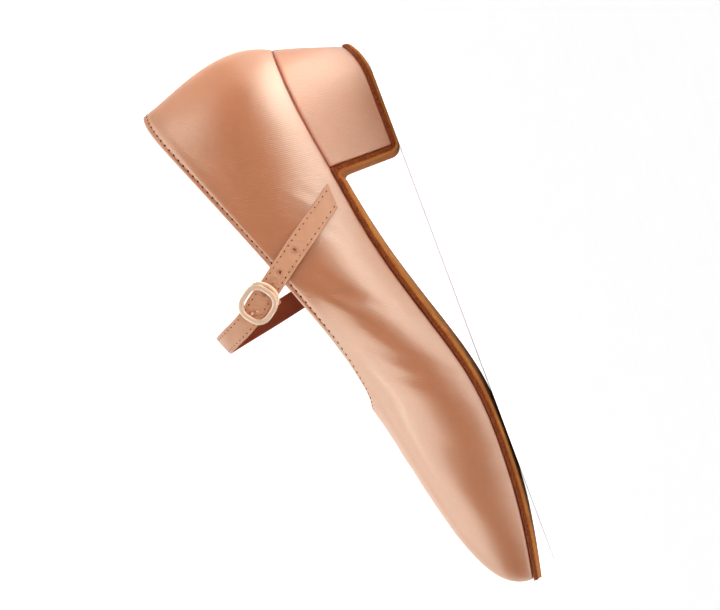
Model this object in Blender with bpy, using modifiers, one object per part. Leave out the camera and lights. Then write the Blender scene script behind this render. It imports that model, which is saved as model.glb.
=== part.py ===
"""Ballroom practice court shoe for the left foot, EU size 38, with a buckled instep strap.

The shoe stands unbent on its sole: toe towards -X, heel towards +X, the outer (lateral)
side towards -Y and the floor at Z = 0.  Sizes are millimetres, taken along the shoe from
the back of the heel seat (s), across it with the inner side positive (y) and above the
floor (h).  The function world() turns them into metres in the shoe's own frame.
"""
import math

import bmesh
import bpy
import numpy as np
from mathutils import Vector

# ------------------------------------------------------------------ driving sizes
MM = 0.001
ORIGIN_S = 119.50           # s of the middle of the whole shoe
ORIGIN_Y = 0.07             # y of the middle of the whole shoe

GAP = 0.3                   # glue line between neighbouring pieces
WALL = 1.8                  # satin, interlining and lining of the upper
SOLE = 2.6                  # suede outsole
SOLE_PROUD = 0.5            # sole edge past the feather line
INSOLE = 3.4                # insole board with its leather sock
INSOLE_INSET = 2.5          # insole edge inside the feather line

BREAST_S = 55.4             # front face of the heel block
HEEL_BACK_IN = 9.0          # how far the heel's back slopes in at the floor
HEEL_TAPER = 0.87           # heel width at the floor over its seat width
ROCKER_START = 28.0         # the heel's tread curves up behind this s
ROCKER_RUN = 19.0
ROCKER_LIFT = 4.9
SOLE_HOLLOW = 2.5           # radius of the sole's hollow corner at the breast
SOLE_ROUND = 4.6            # radius of its outer corner under the breast

STRAP_WIDTH = 9.0
STRAP_THICK = 1.6
STRAP_HOLE = 2.2
HOLE_PITCH = 10.9
PINNED_HOLE = 4.5           # hole in use, past the buckle's middle
FREE_HOLE = 5.0             # next hole, before the buckle's middle
FREE_HOLES = 3
TAIL_SLANT = -0.62          # slope of the cut across the tail
TAIL_SLANT_RUN = 12.0

BUCKLE_LENGTH = 16.0        # along the strap
BUCKLE_WIDTH = 15.0         # across the strap
BUCKLE_SIDE = 2.6           # face of the ring's sides
BUCKLE_THICK = 1.6
BUCKLE_BEVEL = 0.45
BUCKLE_ROUND = 5.4          # outer corner radius of the ring
BUCKLE_LIFT = 2.5           # middle of the ring above the middle of the strap
END_BAR_RADIUS = 0.7        # second bar, behind the ring's end towards the tail
END_BAR_LIFT = 1.85
END_BAR_BACK = 1.3
END_BAR_START = 2.0
PIVOT_RADIUS = 0.75         # bar under the strap that the tab and prong turn on
PIVOT_ALONG = 4.5
PIVOT_DROP = 3.5
PIVOT_BEND = 1.3
PRONG_RADIUS = 0.65
TAB_WIDTH = 7.6
TAB_THICK = 1.0
TAB_SLOT = 2.0              # slot in the tab's fold that lets the prong through
TAB_SLOT_ENDS = (1.2, 7.4)  # its ends, along the strap from the buckle's middle
TAB_DEPTHS = (9.0, 5.5, 2.0)        # rows of the tab's sewn end below the topline

COLUMNS_PER_ROW = 4         # columns of faces for each row of LAST
UPPER_RAILS = 12            # rails from the feather line to the topline
SOLE_ACROSS = 11            # points across the outsole
INSOLE_ACROSS = 8
STRAP_STEPS = 64

# One row for each place round the last: the feather point, the topline point, how the
# wall leaves the feather line (outwards, upwards) and how it reaches the topline
# (outwards, downwards).
LAST = (
    # place             feather s,y     topline s,y,h         leaves out,up  reaches out,down
    ("back",            (0.0, 0.0),     (7.5, 0.0, 95.3),     (10.6, 20.0),  (7.0, 20.0)),
    ("heel_lateral",    (9.5, -19.5),   (13.5, -12.0, 94.7),  (8.5, 20.0),   (6.5, 20.0)),
    ("seat_lateral",    (30.0, -27.5),  (29.5, -21.5, 88.8),  (5.5, 19.0),   (5.5, 19.0)),
    ("breast_lateral",  (60.0, -27.0),  (57.0, -25.8, 77.5),  (5.0, 17.0),   (4.0, 17.0)),
    ("waist_lateral",   (95.0, -27.5),  (88.0, -28.0, 65.2),  (6.5, 15.0),   (3.0, 15.0)),
    ("joint_lateral",   (130.0, -34.5), (118.0, -26.0, 54.3), (3.5, 16.0),   (8.0, 10.0)),
    ("ball_lateral",    (160.0, -38.8), (136.0, -20.5, 49.5), (2.0, 17.0),   (13.0, 6.0)),
    ("tread_lateral",   (188.0, -35.0), (145.0, -14.5, 48.0), (1.2, 20.0),   (22.0, 7.0)),
    ("toe_lateral",     (217.0, -25.3), (150.0, -8.0, 48.2),  (1.0, 22.0),   (36.0, 10.0)),
    ("corner_lateral",  (235.8, -10.3), (152.0, -3.0, 48.8),  (1.0, 22.0),   (46.0, 12.0)),
    ("toe",             (243.0, 6.0),   (152.5, 1.5, 49.0),   (1.0, 22.0),   (50.0, 12.0)),
    ("corner_medial",   (236.8, 21.8),  (152.0, 6.0, 48.9),   (1.0, 22.0),   (47.0, 12.0)),
    ("toe_medial",      (220.5, 31.8),  (150.0, 10.5, 48.6),  (1.0, 22.0),   (38.0, 10.0)),
    ("tread_medial",    (198.0, 37.0),  (146.0, 15.5, 48.6),  (1.2, 21.0),   (27.0, 8.0)),
    ("ball_medial",     (174.0, 38.7),  (138.0, 20.5, 49.8),  (2.0, 19.0),   (16.0, 6.5)),
    ("joint_medial",    (146.0, 32.0),  (122.0, 24.5, 54.0),  (4.0, 18.0),   (7.0, 10.0)),
    ("waist_medial",    (115.0, 22.5),  (100.0, 26.0, 60.8),  (7.0, 16.0),   (4.0, 14.0)),
    ("arch_medial",     (85.0, 20.5),   (78.0, 25.5, 69.3),   (8.0, 16.0),   (4.0, 15.0)),
    ("breast_medial",   (58.0, 24.5),   (55.0, 23.8, 78.3),   (6.0, 17.0),   (4.5, 17.0)),
    ("seat_medial",     (30.0, 26.5),   (29.5, 20.3, 88.8),   (5.5, 19.0),   (5.5, 19.0)),
    ("heel_medial",     (9.5, 19.0),    (13.5, 11.5, 94.7),   (8.5, 20.0),   (6.5, 20.0)),
)

# Height of the feather line, and how far the foot's bottom sags below it at mid width.
BOTTOM = (
    # place      s      height  sag
    ("back",     0.0,   35.5,   0.0),
    ("seat",     28.0,  33.6,   0.0),
    ("breast",   58.0,  29.0,   0.0),
    ("shank",    85.0,  24.6,   1.0),
    ("waist",    105.0, 19.8,   1.5),
    ("flare",    125.0, 13.9,   1.8),
    ("joint",    142.0, 8.9,    1.9),
    ("ball",     157.0, 5.7,    1.9),
    ("tread",    172.0, 4.4,    1.9),
    ("spring",   190.0, 4.5,    1.9),
    ("vamp",     207.0, 5.6,    1.8),
    ("toe_box",  225.0, 7.9,    1.4),
    ("toe",      243.0, 11.0,   0.8),
)

# The strap's free stretch over the instep: the middle of its thickness, and how far its
# width tilts down towards the toe, in degrees.
STRAP_ARCH = (
    # place            s      y      h     tilt
    ("leaves_wall",    91.4,  -28.3, 68.2, 35.0),
    ("buckle",         96.4,  -25.6, 75.5, 35.0),
    ("above_buckle",   101.4, -22.9, 82.8, 34.0),
    ("outer_bend",     105.0, -16.8, 90.6, 30.0),
    ("outer_crown",    106.9, -8.6,  95.4, 25.0),
    ("crown",          107.3, 0.0,   96.7, 21.0),
    ("inner_crown",    106.7, 8.6,   94.6, 17.0),
    ("inner_bend",     105.4, 15.6,  88.8, 14.0),
    ("inner_side",     103.8, 20.0,  80.8, 12.5),
    ("inner_fall",     102.0, 22.1,  72.0, 11.5),
)
BUCKLE_ROW = 1                  # row of STRAP_ARCH that the buckle sits on
TAIL_END = (66.3, 32.8)         # side view (s, h) of the strap's cut end
TAIL_TOP = (88.2, 63.6)         # where the strap crosses the outer topline
ROOT_TOP = (99.6, 60.0)         # where it passes inside the inner topline
ROOT_END = (97.4, 48.5)         # its sewn end inside the inner wall
TAIL_STOPS = (0.0, 0.15, 0.30, 0.45, 0.60, 0.75, 0.90)
ROOT_STOPS = (0.10, 0.55, 1.0)

# Middle line of the prong after its eye, about the buckle: along the strap towards the
# tail, and out from the strap's middle.
PRONG_LINE = (
    # place          along  out
    ("off_the_eye",  2.0,   -1.80),
    ("under",        0.0,   -1.90),
    ("dips",         -2.4,  -2.05),
    ("turns_up",     -3.6,  -1.70),
    ("enters_hole",  -4.3,  -0.90),
    ("in_hole",      -4.45, 0.40),
    ("in_ring",      -4.45, 2.00),
    ("tip",          -4.4,  3.00),
)

# Middle line of the tab's two leaves on either side of its fold, in the same sizes.
TAB_LOWER = ((9.0, -4.9), (6.8, -5.05))
TAB_UPPER = ((6.8, -2.1), (8.8, -2.5), (10.6, -2.75))

FINISHES = {
    # piece           red    green  blue   rough metal
    "upper":         (0.640, 0.330, 0.200, 0.40, 0.0),
    "outsole":       (0.480, 0.200, 0.060, 0.95, 0.0),
    "heel_block":    (0.640, 0.330, 0.200, 0.40, 0.0),
    "insole":        (0.700, 0.480, 0.330, 0.80, 0.0),
    "strap":         (0.680, 0.400, 0.250, 0.45, 0.0),
    "buckle_tab":    (0.600, 0.330, 0.200, 0.50, 0.0),
    "buckle_frame":  (0.860, 0.680, 0.530, 0.22, 1.0),
    "buckle_prong":  (0.860, 0.680, 0.530, 0.22, 1.0),
}


# ------------------------------------------------------------------ curves
def unit(vectors):
    """Vectors scaled to length one."""
    vectors = np.asarray(vectors, float)
    return vectors / np.linalg.norm(vectors, axis=-1, keepdims=True)


def blend_cubic(low, high, bend_low, bend_high, part, width):
    """Cubic between two values with given second derivatives."""
    rest = 1.0 - part
    curve = (rest**3 - rest) * bend_low + (part**3 - part) * bend_high
    return low * rest + high * part + curve * width**2 / 6.0


def ring_spline(values, at):
    """Smooth closed curve through evenly numbered rows, read at row numbers `at`."""
    values = np.asarray(values, float)
    count = len(values)
    one = np.eye(count)
    system = 4.0 * one + np.roll(one, 1, 0) + np.roll(one, -1, 0)
    load = np.roll(values, 1, 0) - 2.0 * values + np.roll(values, -1, 0)
    bend = np.linalg.solve(system, 6.0 * load)
    at = np.asarray(at, float) % count
    low = np.floor(at).astype(int) % count
    high = (low + 1) % count
    part = (at - np.floor(at))[:, None]
    return blend_cubic(values[low], values[high], bend[low], bend[high], part, 1.0)


def open_spline(knots, values, at):
    """Smooth open curve through values at increasing knots, read at `at`."""
    knots = np.asarray(knots, float)
    values = np.asarray(values, float)
    steps = np.diff(knots)
    count = len(knots)
    system = np.eye(count)
    load = np.zeros_like(values)
    for k in range(1, count - 1):
        before, after = steps[k - 1], steps[k]
        system[k, k - 1:k + 2] = before, 2.0 * (before + after), after
        rise = (values[k + 1] - values[k]) / after - (values[k] - values[k - 1]) / before
        load[k] = 6.0 * rise
    bend = np.linalg.solve(system, load)
    at = np.clip(np.asarray(at, float), knots[0], knots[-1])
    low = np.clip(np.searchsorted(knots, at, side="right") - 1, 0, count - 2)
    width = steps[low]
    part = (at - knots[low]) / width
    if values.ndim > 1:
        part, width = part[:, None], width[:, None]
    return blend_cubic(values[low], values[low + 1], bend[low], bend[low + 1], part, width)


def run_along(points):
    """Length run along a line at each of its points."""
    steps = np.linalg.norm(np.diff(points, axis=0), axis=1)
    return np.concatenate([[0.0], np.cumsum(steps)])


# ------------------------------------------------------------------ the last
LAST_ROWS = np.array([sum(row[1:], ()) for row in LAST])
BOTTOM_S, BOTTOM_H, BOTTOM_SAG = np.array([row[1:] for row in BOTTOM]).T


def feather_height(s):
    """Height of the feather line above the floor at each s."""
    return open_spline(BOTTOM_S, BOTTOM_H, np.atleast_1d(s))


def sole_sag(s):
    """How far the bottom of the foot sags below the feather line at mid width."""
    return np.interp(s, BOTTOM_S, BOTTOM_SAG)


def heel_rise(s):
    """How far the heel's tread curves up towards its back at s."""
    behind = np.clip((ROCKER_START - np.asarray(s, float)) / ROCKER_RUN, 0.0, None)
    return ROCKER_LIFT * behind**2.5


def heel_scale(level):
    """Heel outline's width at a level from 0 at the floor to 1 at the seat."""
    return HEEL_TAPER + (1.0 - HEEL_TAPER) * level**1.4


def outward_of(tangent):
    """Outward plan direction of an outline that runs back, outer side, toe, inner side."""
    return np.stack([tangent[:, 1], -tangent[:, 0]], 1)


def last_surface(around, along):
    """Outer face of the upper as an (around, along, 3) grid of (s, y, h).

    `around` counts rows of LAST and `along` runs from 0 at the feather line to 1 at the
    topline; each column is one cubic Bezier curve.
    """
    around = np.asarray(around, float)
    rows = ring_spline(LAST_ROWS, around)
    step = 0.01
    tangent = unit(ring_spline(LAST_ROWS[:, :2], around + step)
                   - ring_spline(LAST_ROWS[:, :2], around - step))
    outward = outward_of(tangent)
    feather = np.column_stack([rows[:, :2], feather_height(rows[:, 0])])
    topline = rows[:, 2:5]
    leave = feather + np.column_stack([outward * rows[:, 5:6], rows[:, 6]])
    reach = topline + np.column_stack([outward * rows[:, 7:8], -rows[:, 8]])
    t = np.asarray(along, float)[None, :, None]
    rest = 1.0 - t
    return (feather[:, None] * rest**3 + leave[:, None] * 3.0 * rest**2 * t
            + reach[:, None] * 3.0 * rest * t**2 + topline[:, None] * t**3)


def feather_outline(inset):
    """Closed plan outline (s, y) of the feather line, moved in by `inset`."""
    around = np.linspace(0.0, len(LAST), 420, endpoint=False)
    points = ring_spline(LAST_ROWS[:, :2], around)
    tangent = unit(np.roll(points, -1, 0) - np.roll(points, 1, 0))
    return points - outward_of(tangent) * inset


def outline_span(outline, s):
    """The outline's outer and inner y at s."""
    back = int(np.argmin(outline[:, 0]))
    turned = np.roll(outline, -back, 0)
    tip = int(np.argmax(turned[:, 0]))
    outer = turned[:tip + 1]
    inner = np.vstack([turned[tip:], turned[:1]])[::-1]
    return np.interp(s, outer[:, 0], outer[:, 1]), np.interp(s, inner[:, 0], inner[:, 1])


def skin_point(s, h, side, lift):
    """Point of the upper's face at side view (s, h), moved out by `lift`.

    `side` is -1 on the outer wall and +1 on the inner one.
    """
    around = np.linspace(0.5, 7.5, 57) if side < 0 else np.linspace(13.5, 20.5, 57)
    along = np.linspace(0.0, 1.0, 33)
    grid = last_surface(around, along)
    miss = np.hypot(grid[:, :, 0] - s, grid[:, :, 2] - h)
    i, j = np.unravel_index(np.argmin(miss), miss.shape)
    u, v = around[i], along[j]
    step = 0.01
    for _ in range(6):
        here = last_surface([u], [v])[0, 0]
        by_u = (last_surface([u + step], [v])[0, 0] - here) / step
        by_v = (last_surface([u], [v + step])[0, 0] - here) / step
        system = np.array([[by_u[0], by_v[0]], [by_u[2], by_v[2]]])
        change = np.linalg.solve(system, [s - here[0], h - here[2]])
        u, v = u + change[0], v + change[1]
    here = last_surface([u], [v])[0, 0]
    normal = unit(np.cross(by_u, by_v))
    return here + normal * lift * np.sign(normal[1] * side)


# ------------------------------------------------------------------ making meshes
def world(points):
    """Shoe sizes (s, y, h) in millimetres as metres in the shoe's frame."""
    points = np.asarray(points, float)
    x = ORIGIN_S - points[..., 0]
    y = points[..., 1] - ORIGIN_Y
    return np.stack([x, y, points[..., 2]], -1) * MM


def add_object(name, mesh, collection):
    """Object for one sub-part, with its own material, in the shoe's collection."""
    red, green, blue, rough, metal = FINISHES[name]
    material = bpy.data.materials.new(name)
    material.use_nodes = True
    shader = material.node_tree.nodes["Principled BSDF"]
    shader.inputs["Base Color"].default_value = (red, green, blue, 1.0)
    shader.inputs["Roughness"].default_value = rough
    shader.inputs["Metallic"].default_value = metal
    material.diffuse_color = (red, green, blue, 1.0)
    mesh.materials.append(material)
    mesh.shade_smooth()
    mesh.set_sharp_from_angle(angle=math.radians(40.0))
    part = bpy.data.objects.new(name, mesh)
    collection.objects.link(part)
    return part


def add_helper(name, mesh, cutters):
    """Object that only cuts or joins: kept apart, drawn as wire, never rendered."""
    helper = bpy.data.objects.new(name, mesh)
    cutters.objects.link(helper)
    helper.hide_render = True
    helper.display_type = "WIRE"
    return helper


def combine(part, other, operation):
    """Cut `other` out of a part, or join it on."""
    step = part.modifiers.new(other.name, "BOOLEAN")
    step.operation = operation
    step.object = other
    step.solver = "EXACT"


def loft_mesh(name, rings, closed=False):
    """Mesh through rings of equal count, with flat end caps unless it is closed."""
    form = bmesh.new()
    grid = [[form.verts.new(point) for point in ring] for ring in world(rings)]
    count = len(grid[0])
    followers = grid[1:] + grid[:1] if closed else grid[1:]
    for first, second in zip(grid, followers):
        for k in range(count):
            other = (k + 1) % count
            form.faces.new((first[k], first[other], second[other], second[k]))
    if not closed:
        form.faces.new(grid[0][::-1])
        form.faces.new(grid[-1])
    bmesh.ops.recalc_face_normals(form, faces=form.faces)
    mesh = bpy.data.meshes.new(name)
    form.to_mesh(mesh)
    form.free()
    return mesh


def wire_mesh(name, points, radius, sides=8):
    """Round wire along an open line of (s, y, h) points."""
    points = np.asarray(points, float)
    tangent = unit(np.gradient(points, axis=0))
    side = np.cross(tangent[0], [0.3, 0.5, 0.8])
    turn = np.linspace(0.0, 2.0 * math.pi, sides, endpoint=False)[:, None]
    rings = []
    for point, along in zip(points, tangent):
        side = unit(side - along * np.dot(side, along))
        lift = np.cross(along, side)
        rings.append(point + radius * (np.cos(turn) * side + np.sin(turn) * lift))
    return loft_mesh(name, rings)


# ------------------------------------------------------------------ upper and bottom
def make_upper(collection):
    """One-piece satin upper: a wall round the foot, open at the topline and below."""
    columns = COLUMNS_PER_ROW * len(LAST)
    around = np.arange(columns) / COLUMNS_PER_ROW
    grid = world(last_surface(around, np.linspace(0.0, 1.0, UPPER_RAILS)))
    form = bmesh.new()
    verts = [[form.verts.new(point) for point in column] for column in grid]
    for i, column in enumerate(verts):
        following = verts[(i + 1) % columns]
        for j in range(UPPER_RAILS - 1):
            form.faces.new((column[j], column[j + 1], following[j + 1], following[j]))
    mesh = bpy.data.meshes.new("upper")
    form.to_mesh(mesh)
    form.free()
    upper = add_object("upper", mesh, collection)
    wall = upper.modifiers.new("wall", "SOLIDIFY")
    wall.thickness = WALL * MM
    wall.offset = -1.0


def seat_outline(count_round=34, count_front=9):
    """Closed D-shaped outline of the heel seat: round the back, then along the breast."""
    outline = feather_outline(0.0)
    rear = np.roll(outline, -int(np.argmin(outline[:, 0])), 0)
    rear = rear[rear[:, 0] <= BREAST_S]
    split = int(np.argmax(np.diff(rear[:, 1]))) + 1
    outer, inner = outline_span(outline, BREAST_S)
    arc = np.vstack([[(BREAST_S, inner)], rear[split:], rear[:split], [(BREAST_S, outer)]])
    run = run_along(arc)
    even = np.linspace(0.0, run[-1], count_round)
    arc = np.column_stack([np.interp(even, run, arc[:, k]) for k in (0, 1)])
    front = np.linspace(outer, inner, count_front)[1:-1]
    breast = np.column_stack([np.full(len(front), BREAST_S), front])
    return np.vstack([arc, breast])


def shrink_s(s, back_in):
    """s of a seat point when the heel's back lies in by `back_in`."""
    return back_in + s * (BREAST_S - back_in) / BREAST_S


def make_heel_block(collection):
    """Satin-covered block heel between the seat and its suede."""
    seat = seat_outline()
    seat_top = feather_height(seat[:, 0]) - GAP
    foot = np.column_stack([shrink_s(seat[:, 0], HEEL_BACK_IN), seat[:, 1] * HEEL_TAPER])
    tread = SOLE + GAP + heel_rise(foot[:, 0])
    foot_middle, seat_middle = np.array([33.0, 0.0]), np.array([28.0, 0.0])
    rings = []
    for shrink in (0.3, 0.65):
        plan = foot_middle + (foot - foot_middle) * shrink
        rings.append(np.column_stack([plan, SOLE + GAP + heel_rise(plan[:, 0])]))
    for level in np.linspace(0.0, 1.0, 7):
        s = shrink_s(seat[:, 0], HEEL_BACK_IN * (1.0 - level)**1.1)
        height = tread + level * (seat_top - tread)
        rings.append(np.column_stack([s, seat[:, 1] * heel_scale(level), height]))
    for shrink in (0.65, 0.3):
        plan = seat_middle + (seat - seat_middle) * shrink
        rings.append(np.column_stack([plan, feather_height(plan[:, 0]) - GAP]))
    add_object("heel_block", loft_mesh("heel_block", rings), collection)


def level_row(s, y, height):
    """Points across the shoe at one s and height."""
    return np.column_stack([np.full(len(y), s), y, np.full(len(y), height)])


def foot_station(outline, s):
    """Ring of the outsole under the foot at s: its glued face, then its tread."""
    outer, inner = outline_span(outline, s)
    across = np.linspace(-1.0, 1.0, SOLE_ACROSS)
    y = (outer + inner) / 2 + across * (inner - outer) / 2
    top = feather_height(s)[0] - GAP - sole_sag(s) * (1.0 - across**2)
    glued = np.column_stack([np.full(SOLE_ACROSS, s), y, top])
    tread = np.column_stack([np.full(SOLE_ACROSS, s), y, np.maximum(top - SOLE, 0.0)])
    return np.vstack([glued, tread[::-1]])


def fold_stations(outline, start_s):
    """Rings of the outsole from the shank's end, down the breast, to under the heel."""
    outer, inner = outline_span(outline, BREAST_S)
    breast_y = np.linspace(outer, inner, SOLE_ACROSS)
    glued_s = BREAST_S + GAP
    tread_s = glued_s + SOLE
    top = feather_height(BREAST_S)[0] - GAP
    low = top - SOLE - SOLE_HOLLOW
    under_s = tread_s - SOLE_ROUND
    quarter = [(k / 4, math.radians(90.0 * k / 4)) for k in range(1, 5)]
    places = []
    for part, angle in quarter:
        along = min(2.0 * part, 1.0)
        s = start_s - (start_s - glued_s) * along
        under_foot = feather_height(s)[0] - GAP
        glued = (s, under_foot - (under_foot - low) * max(2.0 * part - 1.0, 0.0))
        tread = (tread_s + SOLE_HOLLOW * (1.0 - math.sin(angle)), low + SOLE_HOLLOW * math.cos(angle))
        places.append((glued, tread, 1.0))
    for h in np.linspace(low, SOLE_ROUND, 6)[1:]:
        places.append(((glued_s, h), (tread_s, h), (h - SOLE) / (top - SOLE)))
    for part, angle in quarter:
        glued = (glued_s - (glued_s - under_s) * max(2.0 * part - 1.0, 0.0),
                 SOLE_ROUND - (SOLE_ROUND - SOLE) * min(2.0 * part, 1.0))
        tread = (under_s + SOLE_ROUND * math.cos(angle), SOLE_ROUND * (1.0 - math.sin(angle)))
        places.append((glued, tread, 0.0))
    rings = []
    for glued, tread, level in places:
        y = breast_y * heel_scale(level)
        rings.append(np.vstack([level_row(glued[0], y, glued[1]), level_row(tread[0], y, tread[1])[::-1]]))
    return rings, under_s


def heel_stations(outline, under_s, count=12):
    """Rings of the outsole under the heel, from the breast to its curved-up back."""
    foot = np.column_stack([shrink_s(outline[:, 0], HEEL_BACK_IN), outline[:, 1] * HEEL_TAPER])
    back = foot[:, 0].min() + 0.15
    rings = []
    for k in range(1, count + 1):
        s = back + (under_s - back) * (1.0 - math.sin(math.radians(90.0 * k / count)))
        y = np.linspace(*outline_span(foot, s), SOLE_ACROSS)
        lift = float(heel_rise(s))
        rings.append(np.vstack([level_row(s, y, SOLE + lift), level_row(s, y, lift)[::-1]]))
    return rings


def make_outsole(collection):
    """Suede sole in one sheet: forefoot, shank, down the breast and under the heel."""
    outline = feather_outline(-SOLE_PROUD)
    toe = outline[:, 0].max() - 0.15
    start_s = BREAST_S + GAP + SOLE + SOLE_HOLLOW
    turns = np.linspace(0.0, math.pi / 2, 38)
    rings = [foot_station(outline, toe - (toe - start_s) * (1.0 - math.cos(turn))) for turn in turns]
    folded, under_s = fold_stations(outline, start_s)
    rings += folded + heel_stations(outline, under_s)
    add_object("outsole", loft_mesh("outsole", rings), collection)


def make_insole(collection):
    """Insole board with its leather sock, filling the bottom of the upper."""
    outline = feather_outline(INSOLE_INSET)
    sole = feather_outline(-SOLE_PROUD)
    back, toe = outline[:, 0].min() + 0.2, outline[:, 0].max() - 0.2
    rings = []
    for turn in np.linspace(0.0, math.pi, 41):
        s = back + (toe - back) * (1.0 - math.cos(turn)) / 2
        y = np.linspace(*outline_span(outline, s), INSOLE_ACROSS)
        outer, inner = outline_span(sole, s)
        across = (2.0 * y - outer - inner) / (inner - outer)
        under = feather_height(s)[0] - sole_sag(s) * (1.0 - across**2)
        board = np.column_stack([np.full(INSOLE_ACROSS, s), y, under])
        rings.append(np.vstack([board, (board + [0.0, 0.0, INSOLE])[::-1]]))
    add_object("insole", loft_mesh("insole", rings), collection)


# ------------------------------------------------------------------ strap
def wall_rails(start, end, stops, side, lift, half):
    """Toe-side and heel-side edges of a band that lies along one wall of the upper.

    `start` and `end` are side view places (s, h), and `stops` are shares of the way.
    """
    start, end = np.array(start), np.array(end)
    along = unit(end - start)
    aside = np.array([along[1], -along[0]]) * math.copysign(1.0, along[1])
    rails = ([], [])
    for stop in stops:
        centre = start + (end - start) * stop
        for rail, sign in zip(rails, (1.0, -1.0)):
            rail.append(skin_point(*(centre + aside * half * sign), side, lift))
    return rails


def strap_rails():
    """Toe-side and heel-side edges of the strap at mid thickness, from its tail."""
    half = STRAP_WIDTH / 2
    outside = GAP + 0.2 + STRAP_THICK / 2
    inside = -(WALL + 2.0 * GAP + STRAP_THICK / 2)
    toe_rail, heel_rail = wall_rails(TAIL_END, TAIL_TOP, TAIL_STOPS, -1, outside, half)
    for _, s, y, h, tilt in STRAP_ARCH:
        angle = math.radians(tilt)
        across = np.array([math.cos(angle), 0.0, -math.sin(angle)])
        toe_rail.append(np.array([s, y, h]) + across * half)
        heel_rail.append(np.array([s, y, h]) - across * half)
    root = wall_rails(ROOT_TOP, ROOT_END, ROOT_STOPS, 1, inside, half)
    return np.array(toe_rail + root[0]), np.array(heel_rail + root[1])


def strap_frames(count):
    """Run, middle, tangent, width direction and outward normal at even steps."""
    toe_rail, heel_rail = strap_rails()
    middle = (toe_rail + heel_rail) / 2
    run = run_along(middle)
    at = np.linspace(0.0, run[-1], count)
    across = open_spline(run, toe_rail - heel_rail, at)
    middle = open_spline(run, middle, at)
    tangent = unit(np.gradient(middle, at, axis=0))
    across = unit(across - tangent * np.sum(across * tangent, axis=1, keepdims=True))
    return at, middle, tangent, across, np.cross(across, tangent)


class BuckleSpace:
    """Sizes about the buckle: along to the tail, across to the toe, out of the strap."""

    def __init__(self):
        at, middle, tangent, across, normal = strap_frames(400)
        seat = np.array(STRAP_ARCH[BUCKLE_ROW][1:4])
        k = int(np.argmin(np.linalg.norm(middle - seat, axis=1)))
        self.run = at[k]
        self.middle = middle[k]
        self.axes = np.array([-tangent[k], across[k], normal[k]])

    def place(self, points):
        """Points (along, across, out) as shoe sizes (s, y, h)."""
        return self.middle + np.asarray(points, float) @ self.axes


def make_strap(collection, cutters, space):
    """Instep strap: tail on the outer wall, over the foot, sewn inside the inner wall."""
    at, middle, tangent, across, normal = strap_frames(STRAP_STEPS)
    half, thick = STRAP_WIDTH / 2, STRAP_THICK / 2
    rings = []
    for k, run in enumerate(at):
        lean = TAIL_SLANT * half * max(0.0, 1.0 - run / TAIL_SLANT_RUN)
        ring = []
        for side, face in ((1, 1), (-1, 1), (-1, -1), (1, -1)):
            edge = middle[k] + (across[k] * half - tangent[k] * lean) * side
            ring.append(edge + normal[k] * thick * face)
        rings.append(ring)
    strap = add_object("strap", loft_mesh("strap", rings), collection)
    places = [space.run - FREE_HOLE - HOLE_PITCH * k for k in range(FREE_HOLES)]
    for number, run in enumerate([space.run + PINNED_HOLE] + places):
        k = int(np.argmin(np.abs(at - run)))
        bpy.ops.mesh.primitive_cylinder_add(vertices=12, radius=STRAP_HOLE / 2 * MM, depth=6.0 * MM)
        drill = bpy.context.object
        punch = add_helper(f"strap_punch_{number}", drill.data, cutters)
        bpy.data.objects.remove(drill)
        punch.location = world(open_spline(at, middle, [run])[0])
        outward = Vector((-normal[k][0], normal[k][1], normal[k][2]))
        punch.rotation_euler = outward.to_track_quat("Z", "X").to_euler()
        combine(strap, punch, "DIFFERENCE")


# ------------------------------------------------------------------ buckle
def ring_line(inset, per_corner):
    """Rounded square (along, across) inside the buckle's outline by `inset`."""
    half_a, half_c = BUCKLE_LENGTH / 2 - inset, BUCKLE_WIDTH / 2 - inset
    radius = BUCKLE_ROUND - inset
    points = []
    for quarter, (sign_a, sign_c) in enumerate(((1, 1), (-1, 1), (-1, -1), (1, -1))):
        for k in range(per_corner):
            angle = math.radians(90.0 * (quarter + k / (per_corner - 1)))
            points.append((sign_a * (half_a - radius) + radius * math.cos(angle),
                           sign_c * (half_c - radius) + radius * math.sin(angle)))
    return np.array(points)


def ring_mesh(space):
    """The buckle's ring: a flat bar with eased edges, bent round to a closed ring."""
    half = BUCKLE_THICK / 2
    near, far = BUCKLE_BEVEL, BUCKLE_SIDE - BUCKLE_BEVEL
    low, high = BUCKLE_BEVEL - half, half - BUCKLE_BEVEL
    profile = ((0.0, high), (near, half), (far, half), (BUCKLE_SIDE, high),
               (BUCKLE_SIDE, low), (far, -half), (near, -half), (0.0, low))
    rails = []
    for inset, lift in profile:
        line = ring_line(inset, 6)
        rails.append(np.column_stack([line, np.full(len(line), BUCKLE_LIFT + lift)]))
    rings = np.stack(rails, 1)
    return loft_mesh("buckle_frame", space.place(rings), closed=True)


def end_bar_line(space):
    """Second bar behind the ring's end, between the ring's two sides."""
    middle = ring_line(BUCKLE_SIDE / 2, 9)
    end = [point for point in np.roll(middle, len(middle) // 4 + 1, 0) if point[0] > END_BAR_START]
    reach = max(point[0] for point in end)
    line = []
    for along, across in end:
        share = (along - END_BAR_START) / (reach - END_BAR_START)
        drop = (BUCKLE_LIFT - END_BAR_LIFT) * min(1.0, 1.6 * share)
        line.append((along + END_BAR_BACK * share, across, BUCKLE_LIFT - drop))
    return space.place(line)


def pivot_line(space):
    """Pivot bar: down from one side of the ring, under the strap and up again."""
    side = (BUCKLE_WIDTH - BUCKLE_SIDE) / 2
    bottom = PIVOT_BEND - PIVOT_DROP
    arm = [(side, BUCKLE_LIFT), (side, bottom)]
    for angle in np.radians((30.0, 60.0, 90.0)):
        arm.append((side - PIVOT_BEND * (1.0 - math.cos(angle)), bottom - PIVOT_BEND * math.sin(angle)))
    line = [(PIVOT_ALONG, across, out) for across, out in arm]
    line += [(PIVOT_ALONG, -across, out) for across, out in arm[::-1]]
    return space.place(line)


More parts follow.
